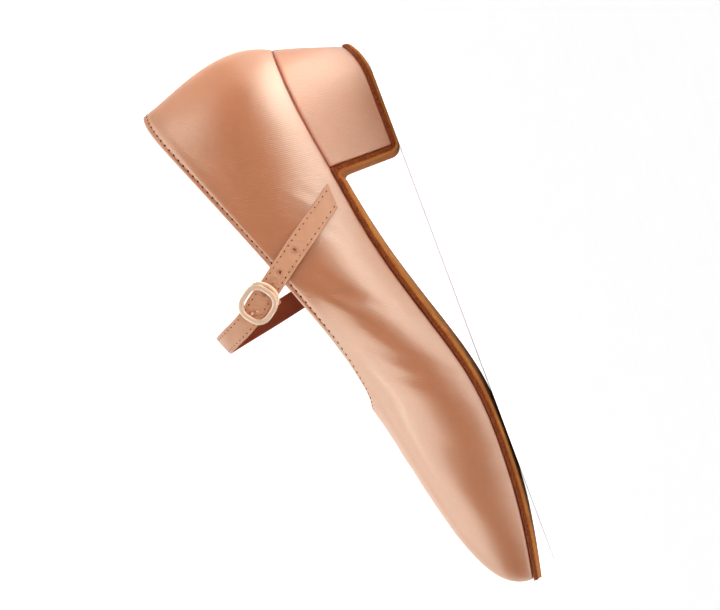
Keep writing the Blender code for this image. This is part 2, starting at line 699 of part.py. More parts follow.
def make_buckle_frame(collection, cutters, space):
    """Ring over the strap, its end bar and the pivot bar below, as one casting."""
    frame = add_object("buckle_frame", ring_mesh(space), collection)
    end_bar = wire_mesh("end_bar", end_bar_line(space), END_BAR_RADIUS)
    pivot = wire_mesh("pivot_bar", pivot_line(space), PIVOT_RADIUS)
    for mesh in (end_bar, pivot):
        combine(frame, add_helper(mesh.name, mesh, cutters), "UNION")


def make_prong(collection, space):
    """Prong: an eye round the pivot bar, a run under the strap and its upturned tip."""
    eye = PIVOT_RADIUS + GAP + PRONG_RADIUS
    line = []
    for degrees in range(-60, 91, 25):
        angle = math.radians(degrees)
        line.append((PIVOT_ALONG + eye * math.cos(angle), 0.0, eye * math.sin(angle) - PIVOT_DROP))
    line += [(along, 0.0, out) for _, along, out in PRONG_LINE]
    mesh = wire_mesh("buckle_prong", space.place(line), PRONG_RADIUS, sides=10)
    add_object("buckle_prong", mesh, collection)


def make_tab(collection, cutters, space):
    """Leather tab sewn inside the outer wall and folded round the pivot bar."""
    half, thick = TAB_WIDTH / 2, TAB_THICK / 2
    top, end = np.array(TAIL_TOP), np.array(TAIL_END)
    stops = np.array(TAB_DEPTHS) / np.linalg.norm(end - top)
    toe_rail, heel_rail = wall_rails(top, end, stops, -1, -(WALL + GAP + thick), half)
    fold = PIVOT_RADIUS + GAP + thick
    line = list(TAB_LOWER)
    for angle in np.radians(np.linspace(-90.0, 90.0, 7)):
        line.append((PIVOT_ALONG - fold * math.cos(angle), fold * math.sin(angle) - PIVOT_DROP))
    line += TAB_UPPER
    toe_rail += [space.place((along, half, out)) for along, out in line]
    heel_rail += [space.place((along, -half, out)) for along, out in line]
    toe_rail, heel_rail = np.array(toe_rail), np.array(heel_rail)
    tangent = unit(np.gradient((toe_rail + heel_rail) / 2, axis=0))
    lift = unit(np.cross(toe_rail - heel_rail, tangent)) * thick
    rings = np.stack([toe_rail + lift, heel_rail + lift, heel_rail - lift, toe_rail - lift], 1)
    tab = add_object("buckle_tab", loft_mesh("buckle_tab", rings), collection)
    near, far = TAB_SLOT_ENDS
    corners = ((near, -1), (far, -1), (far, 1), (near, 1))
    box = [[(along, side * TAB_SLOT / 2, out) for along, side in corners]
           for out in (-2.0 * PIVOT_DROP, -STRAP_THICK / 2)]
    combine(tab, add_helper("tab_slot", loft_mesh("tab_slot", space.place(box)), cutters), "DIFFERENCE")


# ------------------------------------------------------------------ the shoe
def main():
    """Build the shoe in an empty scene."""
    for item in list(bpy.data.objects):
        bpy.data.objects.remove(item, do_unlink=True)
    shoe = bpy.data.collections.new("ballroom_dance_shoe")
    cutters = bpy.data.collections.new("cutters")
    for collection in (shoe, cutters):
        bpy.context.scene.collection.children.link(collection)
    make_upper(shoe)
    make_outsole(shoe)
    make_heel_block(shoe)
    make_insole(shoe)
    space = BuckleSpace()
    make_strap(shoe, cutters, space)
    make_buckle_frame(shoe, cutters, space)
    make_prong(shoe, space)
    make_tab(shoe, cutters, space)


main()
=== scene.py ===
"""Looks for a left-foot ballroom practice court shoe: satin, suede, leather and a gold buckle.

Sizes are millimetres in the shoe's own layout: s along the shoe from the back of the
heel seat towards the toe, y across it with the inner side positive, and h above the
floor.  Shoe.to_frame() turns them into metres in the frame that the CAD model uses.
"""
from __future__ import annotations

import logging
import math
from dataclasses import dataclass, field
from enum import Enum
from functools import cache, partial
from typing import Callable, NamedTuple

import bmesh
import bpy
import numpy as np
from bpy.types import ID, Material, Mesh, Node, NodeSocket, NodeTree, Object
from mathutils import Matrix, Vector


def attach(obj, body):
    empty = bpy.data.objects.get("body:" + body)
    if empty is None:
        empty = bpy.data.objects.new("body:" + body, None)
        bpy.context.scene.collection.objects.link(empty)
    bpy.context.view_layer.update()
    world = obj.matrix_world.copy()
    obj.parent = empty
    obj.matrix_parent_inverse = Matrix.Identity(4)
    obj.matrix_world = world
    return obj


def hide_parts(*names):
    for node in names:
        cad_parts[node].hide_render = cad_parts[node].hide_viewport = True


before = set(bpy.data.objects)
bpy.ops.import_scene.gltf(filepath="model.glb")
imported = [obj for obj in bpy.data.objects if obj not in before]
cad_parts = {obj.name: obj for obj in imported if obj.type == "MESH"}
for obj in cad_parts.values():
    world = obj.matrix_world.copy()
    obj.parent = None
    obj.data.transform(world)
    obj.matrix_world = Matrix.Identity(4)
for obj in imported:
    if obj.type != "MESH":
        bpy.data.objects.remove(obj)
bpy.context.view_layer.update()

LOG = logging.getLogger("dance_shoe")
MM = 0.001
Array = np.ndarray
Colour = tuple[float, float, float, float]
Spot = tuple[float, float]
Place = tuple[float, float, float]
Adder = Callable[..., Node]

# Each row is one place round the last: its feather point, its topline point, how the
# wall leaves the feather line (outwards, upwards) and how it reaches the topline
# (outwards, downwards).
LAST = {
    "back": (0.0, 0.0, 7.5, 0.0, 95.3, 10.6, 20.0, 7.0, 20.0),
    "heel_lateral": (9.5, -19.5, 13.5, -12.0, 94.7, 8.5, 20.0, 6.5, 20.0),
    "seat_lateral": (30.0, -27.5, 29.5, -21.5, 88.8, 5.5, 19.0, 5.5, 19.0),
    "breast_lateral": (60.0, -27.0, 57.0, -25.8, 77.5, 5.0, 17.0, 4.0, 17.0),
    "waist_lateral": (95.0, -27.5, 88.0, -28.0, 65.2, 6.5, 15.0, 3.0, 15.0),
    "joint_lateral": (130.0, -34.5, 118.0, -26.0, 54.3, 3.5, 16.0, 8.0, 10.0),
    "ball_lateral": (160.0, -38.8, 136.0, -20.5, 49.5, 2.0, 17.0, 13.0, 6.0),
    "tread_lateral": (188.0, -35.0, 145.0, -14.5, 48.0, 1.2, 20.0, 22.0, 7.0),
    "toe_lateral": (217.0, -25.3, 150.0, -8.0, 48.2, 1.0, 22.0, 36.0, 10.0),
    "corner_lateral": (235.8, -10.3, 152.0, -3.0, 48.8, 1.0, 22.0, 46.0, 12.0),
    "toe": (243.0, 6.0, 152.5, 1.5, 49.0, 1.0, 22.0, 50.0, 12.0),
    "corner_medial": (236.8, 21.8, 152.0, 6.0, 48.9, 1.0, 22.0, 47.0, 12.0),
    "toe_medial": (220.5, 31.8, 150.0, 10.5, 48.6, 1.0, 22.0, 38.0, 10.0),
    "tread_medial": (198.0, 37.0, 146.0, 15.5, 48.6, 1.2, 21.0, 27.0, 8.0),
    "ball_medial": (174.0, 38.7, 138.0, 20.5, 49.8, 2.0, 19.0, 16.0, 6.5),
    "joint_medial": (146.0, 32.0, 122.0, 24.5, 54.0, 4.0, 18.0, 7.0, 10.0),
    "waist_medial": (115.0, 22.5, 100.0, 26.0, 60.8, 7.0, 16.0, 4.0, 14.0),
    "arch_medial": (85.0, 20.5, 78.0, 25.5, 69.3, 8.0, 16.0, 4.0, 15.0),
    "breast_medial": (58.0, 24.5, 55.0, 23.8, 78.3, 6.0, 17.0, 4.5, 17.0),
    "seat_medial": (30.0, 26.5, 29.5, 20.3, 88.8, 5.5, 19.0, 5.5, 19.0),
    "heel_medial": (9.5, 19.0, 13.5, 11.5, 94.7, 8.5, 20.0, 6.5, 20.0),
}

# Height of the feather line, and the foot's sag below it at mid width, at each s.
BOTTOM = {
    "back": (0.0, 35.5, 0.0),
    "seat": (28.0, 33.6, 0.0),
    "breast": (58.0, 29.0, 0.0),
    "shank": (85.0, 24.6, 1.0),
    "waist": (105.0, 19.8, 1.5),
    "flare": (125.0, 13.9, 1.8),
    "joint": (142.0, 8.9, 1.9),
    "ball": (157.0, 5.7, 1.9),
    "tread": (172.0, 4.4, 1.9),
    "spring": (190.0, 4.5, 1.9),
    "vamp": (207.0, 5.6, 1.8),
    "toe_box": (225.0, 7.9, 1.4),
    "toe": (243.0, 11.0, 0.8),
}

# The strap's free stretch: the middle of its thickness and its tilt to the toe in degrees.
STRAP_ARCH = {
    "leaves_wall": (91.4, -28.3, 68.2, 35.0),
    "buckle": (96.4, -25.6, 75.5, 35.0),
    "above_buckle": (101.4, -22.9, 82.8, 34.0),
    "outer_bend": (105.0, -16.8, 90.6, 30.0),
    "outer_crown": (106.9, -8.6, 95.4, 25.0),
    "crown": (107.3, 0.0, 96.7, 21.0),
    "inner_crown": (106.7, 8.6, 94.6, 17.0),
    "inner_bend": (105.4, 15.6, 88.8, 14.0),
    "inner_side": (103.8, 20.0, 80.8, 12.5),
    "inner_fall": (102.0, 22.1, 72.0, 11.5),
}


class Side(Enum):
    """The two sides of the shoe."""

    OUTER = -1
    INNER = 1


class Slot(Enum):
    """Material slots that the CAD record names."""

    SATIN = "satin"
    SUEDE = "suede"
    SOCK = "sock_lining"
    STRAP = "strap_leather"
    METAL = "buckle_metal"


# ------------------------------------------------------------------ curves
def unit(vectors: Array) -> Array:
    """Vectors scaled to length one."""
    vectors = np.asarray(vectors, float)
    return vectors / np.linalg.norm(vectors, axis=-1, keepdims=True)


def hump(distance: Array, width: float) -> Array:
    """Soft bell of height one that has sunk to a third at `width`."""
    return np.exp(-((np.asarray(distance) / width) ** 2))


def ramp(value: Array, low: float, high: float) -> Array:
    """Smooth step from nought at `low` to one at `high`."""
    share = np.clip((np.asarray(value, float) - low) / (high - low), 0.0, 1.0)
    return share * share * (3.0 - 2.0 * share)


def crowded(count: int) -> Array:
    """Numbers from -1 to 1 that crowd towards both ends."""
    return np.sin(np.linspace(-math.pi / 2, math.pi / 2, count))


def blend_cubic(low: Array, high: Array, bend_low: Array, bend_high: Array, part: Array,
                width: Array) -> Array:
    """Cubic between two knots.

    Args:
        low: value at the first knot.
        high: value at the second.
        bend_low: second derivative at the first.
        bend_high: second derivative at the second.
        part: share of the way between them.
        width: distance between them.

    Returns:
        The value at that share.
    """
    rest = 1.0 - part
    curve = (rest**3 - rest) * bend_low + (part**3 - part) * bend_high
    return low * rest + high * part + curve * width**2 / 6.0


def ring_spline(values: Array, at: Array) -> Array:
    """Smooth closed curve through evenly numbered rows.

    Args:
        values: one row for each whole number.
        at: row numbers to read, with fractions.

    Returns:
        One row for each number in `at`.
    """
    count = len(values)
    one = np.eye(count)
    system = 4.0 * one + np.roll(one, 1, 0) + np.roll(one, -1, 0)
    load = np.roll(values, 1, 0) - 2.0 * values + np.roll(values, -1, 0)
    bend = np.linalg.solve(system, 6.0 * load)
    at = np.asarray(at, float) % count
    low = np.floor(at).astype(int) % count
    high = (low + 1) % count
    part = (at - np.floor(at))[:, None]
    return blend_cubic(values[low], values[high], bend[low], bend[high], part, 1.0)


def open_spline(knots: Array, values: Array, at: Array) -> Array:
    """Smooth open curve through values at increasing knots.

    Args:
        knots: where the values stand.
        values: one number or row for each knot.
        at: places to read.

    Returns:
        One number or row for each place.
    """
    steps = np.diff(knots)
    count = len(knots)
    system = np.eye(count)
    load = np.zeros_like(values)
    for k in range(1, count - 1):
        before, after = steps[k - 1], steps[k]
        system[k, k - 1:k + 2] = before, 2.0 * (before + after), after
        load[k] = 6.0 * ((values[k + 1] - values[k]) / after - (values[k] - values[k - 1]) / before)
    bend = np.linalg.solve(system, load)
    at = np.clip(np.asarray(at, float), knots[0], knots[-1])
    low = np.clip(np.searchsorted(knots, at, side="right") - 1, 0, count - 2)
    width = steps[low]
    part = (at - knots[low]) / width
    if values.ndim > 1:
        part, width = part[:, None], width[:, None]
    return blend_cubic(values[low], values[low + 1], bend[low], bend[low + 1], part, width)


def run_along(points: Array) -> Array:
    """Length run along a line at each of its points."""
    steps = np.linalg.norm(np.diff(points, axis=0), axis=1)
    return np.concatenate([[0.0], np.cumsum(steps)])


def run_round(points: Array) -> Array:
    """Length run round a closed line, up to its first point again."""
    return run_along(np.vstack([points, points[:1]]))


def ring_tangent(points: Array) -> Array:
    """Direction of a closed line at each of its points."""
    return unit(np.roll(points, -1, 0) - np.roll(points, 1, 0))


def waves(place: Array, pitch: float, seed: int) -> Array:
    """Gentle unevenness along one direction, from five seeded sines.

    Args:
        place: distance along the direction.
        pitch: about how long a wave is.
        seed: seed of the draw.

    Returns:
        Numbers between -1 and 1.
    """
    draw = np.random.default_rng(seed)
    total = np.zeros_like(np.asarray(place, float))
    for _ in range(5):
        length = pitch * draw.uniform(0.6, 1.9)
        total += np.sin(2.0 * math.pi * (place / length + draw.uniform()))
    return total / 5.0


def crossing(y: Array, s: float, h: Array) -> Array:
    """Points (s, y, h) across the shoe at one s."""
    return np.column_stack([np.full(len(y), s), y, np.broadcast_to(h, len(y))])


def ribbon(place: Array, out: Array, first: Array, second: Array) -> Array:
    """Closed cross-sections of a flat band.

    Args:
        place: the band's middle, with a row of points for each section.
        out: outward direction of each section.
        first: height of one face above the middle.
        second: height of the other face.

    Returns:
        Rows of points that run along one face and back along the other.
    """
    faces = [place + height[..., None] * out[:, None] for height in (first, second)]
    return np.concatenate([faces[0], faces[1][:, ::-1]], 1)


@dataclass(frozen=True)
class Swell:
    """Soft rise beside an edge, or a dip where its height is negative."""

    height: float
    away: float                 # distance of its crest from the edge
    width: float

    def rise(self, distance: Array) -> Array:
        """Its height at each distance from the edge."""
        return self.height * hump(distance - self.away, self.width)


# ------------------------------------------------------------------ the last
@dataclass
class Shoe:
    """The forme that the whole shoe is built round, with its shared sizes."""

    origin_s: float = 119.50
    origin_y: float = 0.07
    gap: float = 0.3
    wall: float = 1.8
    sole: float = 2.6
    sole_proud: float = 0.5
    breast_s: float = 55.4
    heel_back_in: float = 9.0
    heel_taper: float = 0.87        # heel width at the floor over its width at the seat
    heel_flare: float = 1.4         # how late the heel widens on its way up
    tread_rise: float = 4.9         # rise of the heel's tread towards its back
    tread_rise_s: float = 28.0      # where the rise starts
    tread_rise_run: float = 19.0    # length that it takes
    rows: Array = field(default_factory=lambda: np.array(list(LAST.values())))
    bottom: Array = field(default_factory=lambda: np.array(list(BOTTOM.values())).T)

    def to_frame(self, points: Array) -> Array:
        """Points (s, y, h) in millimetres as metres in the CAD frame."""
        s, y, h = np.moveaxis(np.asarray(points, float), -1, 0)
        return np.stack([self.origin_s - s, y - self.origin_y, h], -1) * MM

    def feather_height(self, s: Array) -> Array:
        """Height of the feather line at each s."""
        return open_spline(self.bottom[0], self.bottom[1], np.atleast_1d(s))

    def sag(self, s: Array) -> Array:
        """Sag of the foot's bottom below the feather line at mid width."""
        return np.interp(s, self.bottom[0], self.bottom[2])

    def heel_rise(self, s: Array) -> Array:
        """How far the heel's tread curves up at each s."""
        share = (self.tread_rise_s - np.asarray(s, float)) / self.tread_rise_run
        return self.tread_rise * np.clip(share, 0.0, None) ** 2.5

    def heel_scale(self, level: Array) -> Array:
        """Heel width at a level from 0 at the floor to 1 at the seat."""
        return self.heel_taper + (1.0 - self.heel_taper) * level**self.heel_flare

    def shrink_s(self, s: Array, back_in: Array) -> Array:
        """s of a seat point where the heel's back lies in by `back_in`."""
        return back_in + s * (self.breast_s - back_in) / self.breast_s

    def outward(self, tangent: Array) -> Array:
        """Outward plan direction for a tangent of the outline."""
        return np.stack([tangent[:, 1], -tangent[:, 0]], 1)

    def surface(self, around: Array, along: Array) -> Array:
        """Outer face of the upper.

        Args:
            around: row numbers of LAST, one for each column of points.
            along: shares of the way from feather to topline, one row for each column.

        Returns:
            Grid of (s, y, h) with a row for each column.
        """
        step = 0.01
        ahead = ring_spline(self.rows[:, :2], np.asarray(around) + step)
        behind = ring_spline(self.rows[:, :2], np.asarray(around) - step)
        out = self.outward(unit(ahead - behind))
        plan, topline, leave_by, reach_by = np.split(ring_spline(self.rows, around), [2, 5, 7], axis=1)
        feather = np.column_stack([plan, self.feather_height(plan[:, 0])])
        leave = feather + np.column_stack([out * leave_by[:, :1], leave_by[:, 1]])
        reach = topline + np.column_stack([out * reach_by[:, :1], -reach_by[:, 1]])
        t = np.broadcast_to(np.asarray(along, float), (len(plan), np.shape(along)[-1]))[:, :, None]
        rest = 1.0 - t
        return (feather[:, None] * rest**3 + leave[:, None] * 3.0 * rest**2 * t
                + reach[:, None] * 3.0 * rest * t**2 + topline[:, None] * t**3)

    def outline(self, inset: float, count: int = 1680) -> Array:
        """Closed plan outline of the feather line.

        Args:
            inset: how far it is moved in.
            count: its number of points.

        Returns:
            A row (s, y) for each point.
        """
        points = ring_spline(self.rows[:, :2], np.linspace(0.0, len(self.rows), count, endpoint=False))
        return points - self.outward(ring_tangent(points)) * inset

    def span(self, outline: Array, s: Array) -> tuple[Array, Array]:
        """Width of a plan outline.

        Args:
            outline: rows (s, y) round it.
            s: where to measure.

        Returns:
            Its outer and inner y there.
        """
        turned = np.roll(outline, -int(np.argmin(outline[:, 0])), 0)
        tip = int(np.argmax(turned[:, 0]))
        outer = turned[:tip + 1]
        inner = np.vstack([turned[tip:], turned[:1]])[::-1]
        return np.interp(s, outer[:, 0], outer[:, 1]), np.interp(s, inner[:, 0], inner[:, 1])

    def across(self, outline: Array, s: float, share: Array) -> Array:
        """y at each share from -1 at an outline's outer side to 1 at its inner side."""
        outer, inner = self.span(outline, s)
        return (outer + inner) / 2 + share * (inner - outer) / 2

    def skin(self, s: float, h: float, side: Side, lift: float) -> Array:
        """Point of one wall's outer face at side view (s, h), moved out by `lift`.

        Args:
            s: place along the shoe.
            h: height above the floor.
            side: which wall.
            lift: distance out of the face, negative for inside it.

        Returns:
            The point (s, y, h).
        """
        first_row = 0.5 if side is Side.OUTER else 13.5
        around = np.linspace(first_row, first_row + 7.0, 57)
        along = np.linspace(0.0, 1.0, 33)
        grid = self.surface(around, along)
        miss = np.hypot(grid[:, :, 0] - s, grid[:, :, 2] - h)
        i, j = np.unravel_index(np.argmin(miss), miss.shape)
        u, v = around[i], along[j]
        step = 0.01
        for _ in range(6):
            here = self.surface([u], [v])[0, 0]
            by_u = (self.surface([u + step], [v])[0, 0] - here) / step
            by_v = (self.surface([u], [v + step])[0, 0] - here) / step
            system = np.array([[by_u[0], by_v[0]], [by_u[2], by_v[2]]])
            change = np.linalg.solve(system, [s - here[0], h - here[2]])
            u, v = u + change[0], v + change[1]
        normal = unit(np.cross(by_u, by_v))
        return self.surface([u], [v])[0, 0] + normal * lift * np.sign(normal[1] * side.value)


SHOE = Shoe()


# ------------------------------------------------------------------ nodes and finishes
MATH, MIX, NOISE, RANGE = "ShaderNodeMath", "ShaderNodeMix", "ShaderNodeTexNoise", "ShaderNodeMapRange"
TONE_A, TONE_B = 6, 7           # the two colour inputs of a Mix node


def linear(code: str) -> Colour:
    """Linear colour of an sRGB hex value such as "D9A57E"."""
    shares = [int(code[k:k + 2], 16) / 255.0 for k in (0, 2, 4)]
    return tuple(c / 12.92 if c <= 0.04045 else ((c + 0.055) / 1.055) ** 2.4 for c in shares) + (1.0,)


def repeats(size_mm: float) -> float:
    """Scale of a pattern whose features are this many millimetres."""
    return 1.0 / (size_mm * MM)


def feed(node: Node, inputs: dict) -> None:
    """Set or link a node's inputs.

    Args:
        node: the node.
        inputs: for each input, by name or number: a value, an output to link, or a node,
            whose first live output is linked.
    """
    for key, value in inputs.items():
        if isinstance(value, Node):
            value = next(output for output in value.outputs if output.enabled)
        if isinstance(value, NodeSocket):
            node.id_data.links.new(value, node.inputs[key])
        else:
            node.inputs[key].default_value = value


def add_node(tree: NodeTree, kind: str, inputs: dict | None = None, **settings: object) -> Node:
    """Add one node.

    Args:
        tree: the tree that gets it.
        kind: the node's type name.
        inputs: its inputs, as feed() takes them.
        settings: the node's own properties.

    Returns:
        The node.
    """
    node = tree.nodes.new(kind)
    for name, value in settings.items():
        setattr(node, name, value)
    feed(node, inputs or {})
    return node


@dataclass(frozen=True)
class Finish:
    """What every finish has: a name, and a Principled shader to feed."""

    name: str
    roughness: float = 0.5
    metallic: float = 0.0
    specular: float = 0.5

    def begin(self) -> tuple[Adder, Node]:
        """New material with this finish's fixed numbers on its shader.

        Returns:
            add_node() for the material's tree, and its shader.
        """
        material = bpy.data.materials.new(self.name)
        material.use_nodes = True
        shader = material.node_tree.nodes["Principled BSDF"]
        feed(shader, {"Roughness": self.roughness, "Metallic": self.metallic,
                      "Specular IOR Level": self.specular})
        return partial(add_node, material.node_tree), shader

    def material(self) -> Material:
        """The finished material, made once.

        Returns:
            The material.
        """
        if self.name not in bpy.data.materials:
            self.build()
        return bpy.data.materials[self.name]

    def build(self) -> None:
        """Make the material's nodes."""
        raise NotImplementedError


@dataclass(frozen=True)
class Satin(Finish):
    """Polyester duchess satin: smooth floats that shine in broad soft bands."""

    colour: str = "CF7540"
    deep: str = "BF6933"
    rim: str = "BC431C"             # painted shade where the satin runs into a seam or turns under
    sheen: str = "FBC9A0"
    gloss: str = "FFFCEB"
    ior: float = 2.3
    drawn_out: float = 0.4          # how far the floats stretch a highlight
    rib_mm: float = 0.85            # weft rows, drawn twice as coarse as they are so that they show
    lean: float = 0.12              # how far the rows lean from straight across
    rib_show: float = 0.08
    rib_height: float = 0.018
    wander_mm: float = 16.667       # how often the rows drift
    wander_by_mm: float = 1.2       # and how far
    slub_mm: Spot = (0.66667, 3.8462)
    slub_show: float = 1.1
    slub_height: float = 5.0        # over the height of a weft row
    cloud_mm: float = 35.714        # broad uneven dye
    cloud_show: float = 0.45

    def build(self) -> None:
        """Weft rows, faint slubs, two close tones, painted shade into the rim tone at seams and a stretched
        highlight.
        """
        add, shader = self.begin()
        cloth = add("ShaderNodeUVMap", uv_map="cloth")
        parts = add("ShaderNodeSeparateXYZ", {0: cloth})
        lean = add(MATH, {0: parts.outputs[1], 1: self.lean}, operation="MULTIPLY")
        place = add(MATH, {0: parts.outputs[0], 1: lean}, operation="ADD")
        wander = add(NOISE, {"Vector": cloth, "Scale": repeats(self.wander_mm), "Detail": 2.0})
        shift = add(MATH, {0: wander, 1: self.wander_by_mm * MM}, operation="MULTIPLY")
        place = add(MATH, {0: place, 1: shift}, operation="ADD")
        turn = add(MATH, {0: place, 1: 2.0 * math.pi * repeats(self.rib_mm)}, operation="MULTIPLY")
        rib = add(MATH, {0: turn}, operation="SINE")
        squeeze = add("ShaderNodeMapping", {"Vector": cloth, "Scale": (*map(repeats, self.slub_mm), 1.0)})
        slub = add(NOISE, {"Vector": squeeze, "Scale": 1.0, "Detail": 3.0})
        cloud = add(NOISE, {"Vector": cloth, "Scale": repeats(self.cloud_mm), "Detail": 2.0})
        tone = add(MATH, {0: slub, 1: self.slub_show, 2: -0.3}, operation="MULTIPLY_ADD")
        tone = add(MATH, {0: cloud, 1: self.cloud_show, 2: tone}, operation="MULTIPLY_ADD")
        tone = add(MATH, {0: rib, 1: self.rib_show, 2: tone}, operation="MULTIPLY_ADD", use_clamp=True)
        cover = add(MIX, {0: tone, TONE_A: linear(self.deep), TONE_B: linear(self.colour)}, data_type="RGBA")
        # painted shade: darkens towards the rim tone along the seams and the turned topline
        painted_seam_shade = add("ShaderNodeAttribute", attribute_name="painted_seam_shade").outputs["Fac"]
        colour = add(MIX, {0: painted_seam_shade, TONE_A: cover, TONE_B: linear(self.rim)}, data_type="RGBA")
        height = add(MATH, {0: slub, 1: self.slub_height, 2: rib}, operation="MULTIPLY_ADD")
        bump = add("ShaderNodeBump", {"Height": height, "Strength": 0.8, "Distance": self.rib_height * MM})
        tangent = add("ShaderNodeTangent", direction_type="UV_MAP", uv_map="cloth")
        feed(shader, {"Base Color": colour, "Normal": bump, "Tangent": tangent, "IOR": self.ior,
                      "Specular Tint": linear(self.gloss), "Anisotropic": self.drawn_out,
                      "Sheen Weight": 0.1, "Sheen Roughness": 0.45, "Sheen Tint": linear(self.sheen)})


@dataclass(frozen=True)
class Suede(Finish):
    """Chrome suede split: dull, with a mottled nap and a raw cut edge that is much darker."""

    face: str = "D78A3A"
    worn: str = "B9682A"
    edge: str = "BE5B2A"
    edge_deep: str = "5E220C"
    bloom: str = "FFC890"
    nap_mm: float = 0.6
    nap_depth: float = 0.25
    patch_mm: float = 11.111        # broad patches of brushed and flat nap

    def build(self) -> None:
        """Nap mottling on the face, darker speckle where the attribute `edge` is one."""
        add, shader = self.begin()
        place = add("ShaderNodeTexCoord").outputs["Object"]
        nap = add(NOISE, {"Vector": place, "Scale": repeats(self.nap_mm), "Detail": 4.0, "Roughness": 0.7})
        patch = add(NOISE, {"Vector": place, "Scale": repeats(self.patch_mm), "Detail": 3.0})
        both = add(MATH, {0: nap, 1: patch}, operation="ADD")
        tone = add(RANGE, {"Value": both, "From Min": 0.75, "From Max": 1.25})
        face = add(MIX, {0: tone, TONE_A: linear(self.worn), TONE_B: linear(self.face)}, data_type="RGBA")
        fleck = add(RANGE, {"Value": nap, "From Min": 0.40, "From Max": 0.62})
        rim = add(MIX, {0: fleck, TONE_A: linear(self.edge_deep), TONE_B: linear(self.edge)},
                  data_type="RGBA")
        edge = add("ShaderNodeAttribute", attribute_name="edge").outputs["Fac"]
        colour = add(MIX, {0: edge, TONE_A: face, TONE_B: rim}, data_type="RGBA")
        bump = add("ShaderNodeBump", {"Height": nap, "Strength": 0.7, "Distance": self.nap_depth * MM})
        feed(shader, {"Base Color": colour, "Normal": bump, "Sheen Weight": 0.5, "Sheen Roughness": 0.6,
                      "Sheen Tint": linear(self.bloom)})


@dataclass(frozen=True)
class Leather(Finish):
    """Coated calf leather: a fine pebbled grain under a soft gloss, browned where it is worn."""

    colour: str = "D99F7C"
    deep: str = "CD926E"
    worn: str = "A5562C"
    grain_mm: float = 0.7
    grain_depth: float = 0.06
    cloud_mm: float = 6.25          # soft clouds of dye
    fleck_mm: float = 0.76923       # flecks that break up the wear

    def build(self) -> None:
        """Voronoi grain, soft clouds of tone, and brown where the attribute `worn` is high."""
        add, shader = self.begin()
        place = add("ShaderNodeTexCoord").outputs["Object"]
        grain = add("ShaderNodeTexVoronoi", {"Vector": place, "Scale": repeats(self.grain_mm)},
                    feature="SMOOTH_F1")
        cloud = add(NOISE, {"Vector": place, "Scale": repeats(self.cloud_mm), "Detail": 4.0})
        fleck = add(NOISE, {"Vector": place, "Scale": repeats(self.fleck_mm), "Detail": 3.0})
        patchy = add(RANGE, {"Value": fleck, "From Min": 0.38, "From Max": 0.62,
                             "To Min": 0.15, "To Max": 1.5})
        mark = add("ShaderNodeAttribute", attribute_name="worn").outputs["Fac"]
        worn = add(MATH, {0: mark, 1: patchy}, operation="MULTIPLY", use_clamp=True)
        tone = add(RANGE, {"Value": cloud, "From Min": 0.2, "From Max": 0.8})
        base = add(MIX, {0: tone, TONE_A: linear(self.deep), TONE_B: linear(self.colour)}, data_type="RGBA")
        colour = add(MIX, {0: worn, TONE_A: base, TONE_B: linear(self.worn)}, data_type="RGBA")
        bump = add("ShaderNodeBump", {"Height": grain, "Strength": 0.35, "Distance": self.grain_depth * MM})
        feed(shader, {"Base Color": colour, "Normal": bump})


@dataclass(frozen=True)
class GoldPlate(Finish):
    """Pale gold plate on zinc, tumble polished: a bright creamy mirror with soft handling marks."""

    colour: str = "FFDCBD"
    scuff_mm: float = 1.2
    polished: float = 0.02          # roughness lost where it is best polished
    scuffed: float = 0.03           # roughness gained in a scuff

    def build(self) -> None:
        """One plated tone with faint cloudy scuffs in its gloss."""
        add, shader = self.begin()
        place = add("ShaderNodeTexCoord").outputs["Object"]
        scuff = add(NOISE, {"Vector": place, "Scale": repeats(self.scuff_mm), "Detail": 5.0})
        gloss = add(RANGE, {"Value": scuff, "From Min": 0.3, "From Max": 0.7,
                            "To Min": self.roughness - self.polished,
                            "To Max": self.roughness + self.scuffed})
        feed(shader, {"Roughness": gloss, "Base Color": linear(self.colour)})


@dataclass(frozen=True)
class Mottled(Finish):
    """A matt stuff in two close tones that are mixed by a fine noise."""

    colour: str = "FDFDFD"
    deep: str = "F9F9F9"
    grain_mm: float = 1.1111
    detail: float = 2.0

    def build(self) -> None:
        """Noise between the two tones."""
        add, shader = self.begin()
        place = add("ShaderNodeTexCoord").outputs["Object"]
        grain = add(NOISE, {"Vector": place, "Scale": repeats(self.grain_mm), "Detail": self.detail})
        colour = add(MIX, {0: grain, TONE_A: linear(self.deep), TONE_B: linear(self.colour)},
                     data_type="RGBA")
        feed(shader, {"Base Color": colour})


@dataclass(frozen=True)
class Thread(Mottled):
    """Bonded polyester sewing thread, seen only as dots and short dashes in its holes, dark with painted hole
    shade.
    """

    colour: str = "4A1C0E"
    deep: str = "280D06"
    grain_mm: float = 0.25          # twist of the filaments
    detail: float = 1.0


@dataclass(frozen=True)
class StudioPaper(Mottled):
    """Seamless matt white background paper with a trace of tooth."""


UPPER_SATIN = Satin("duchess_satin_upper", roughness=0.34, specular=1.0)
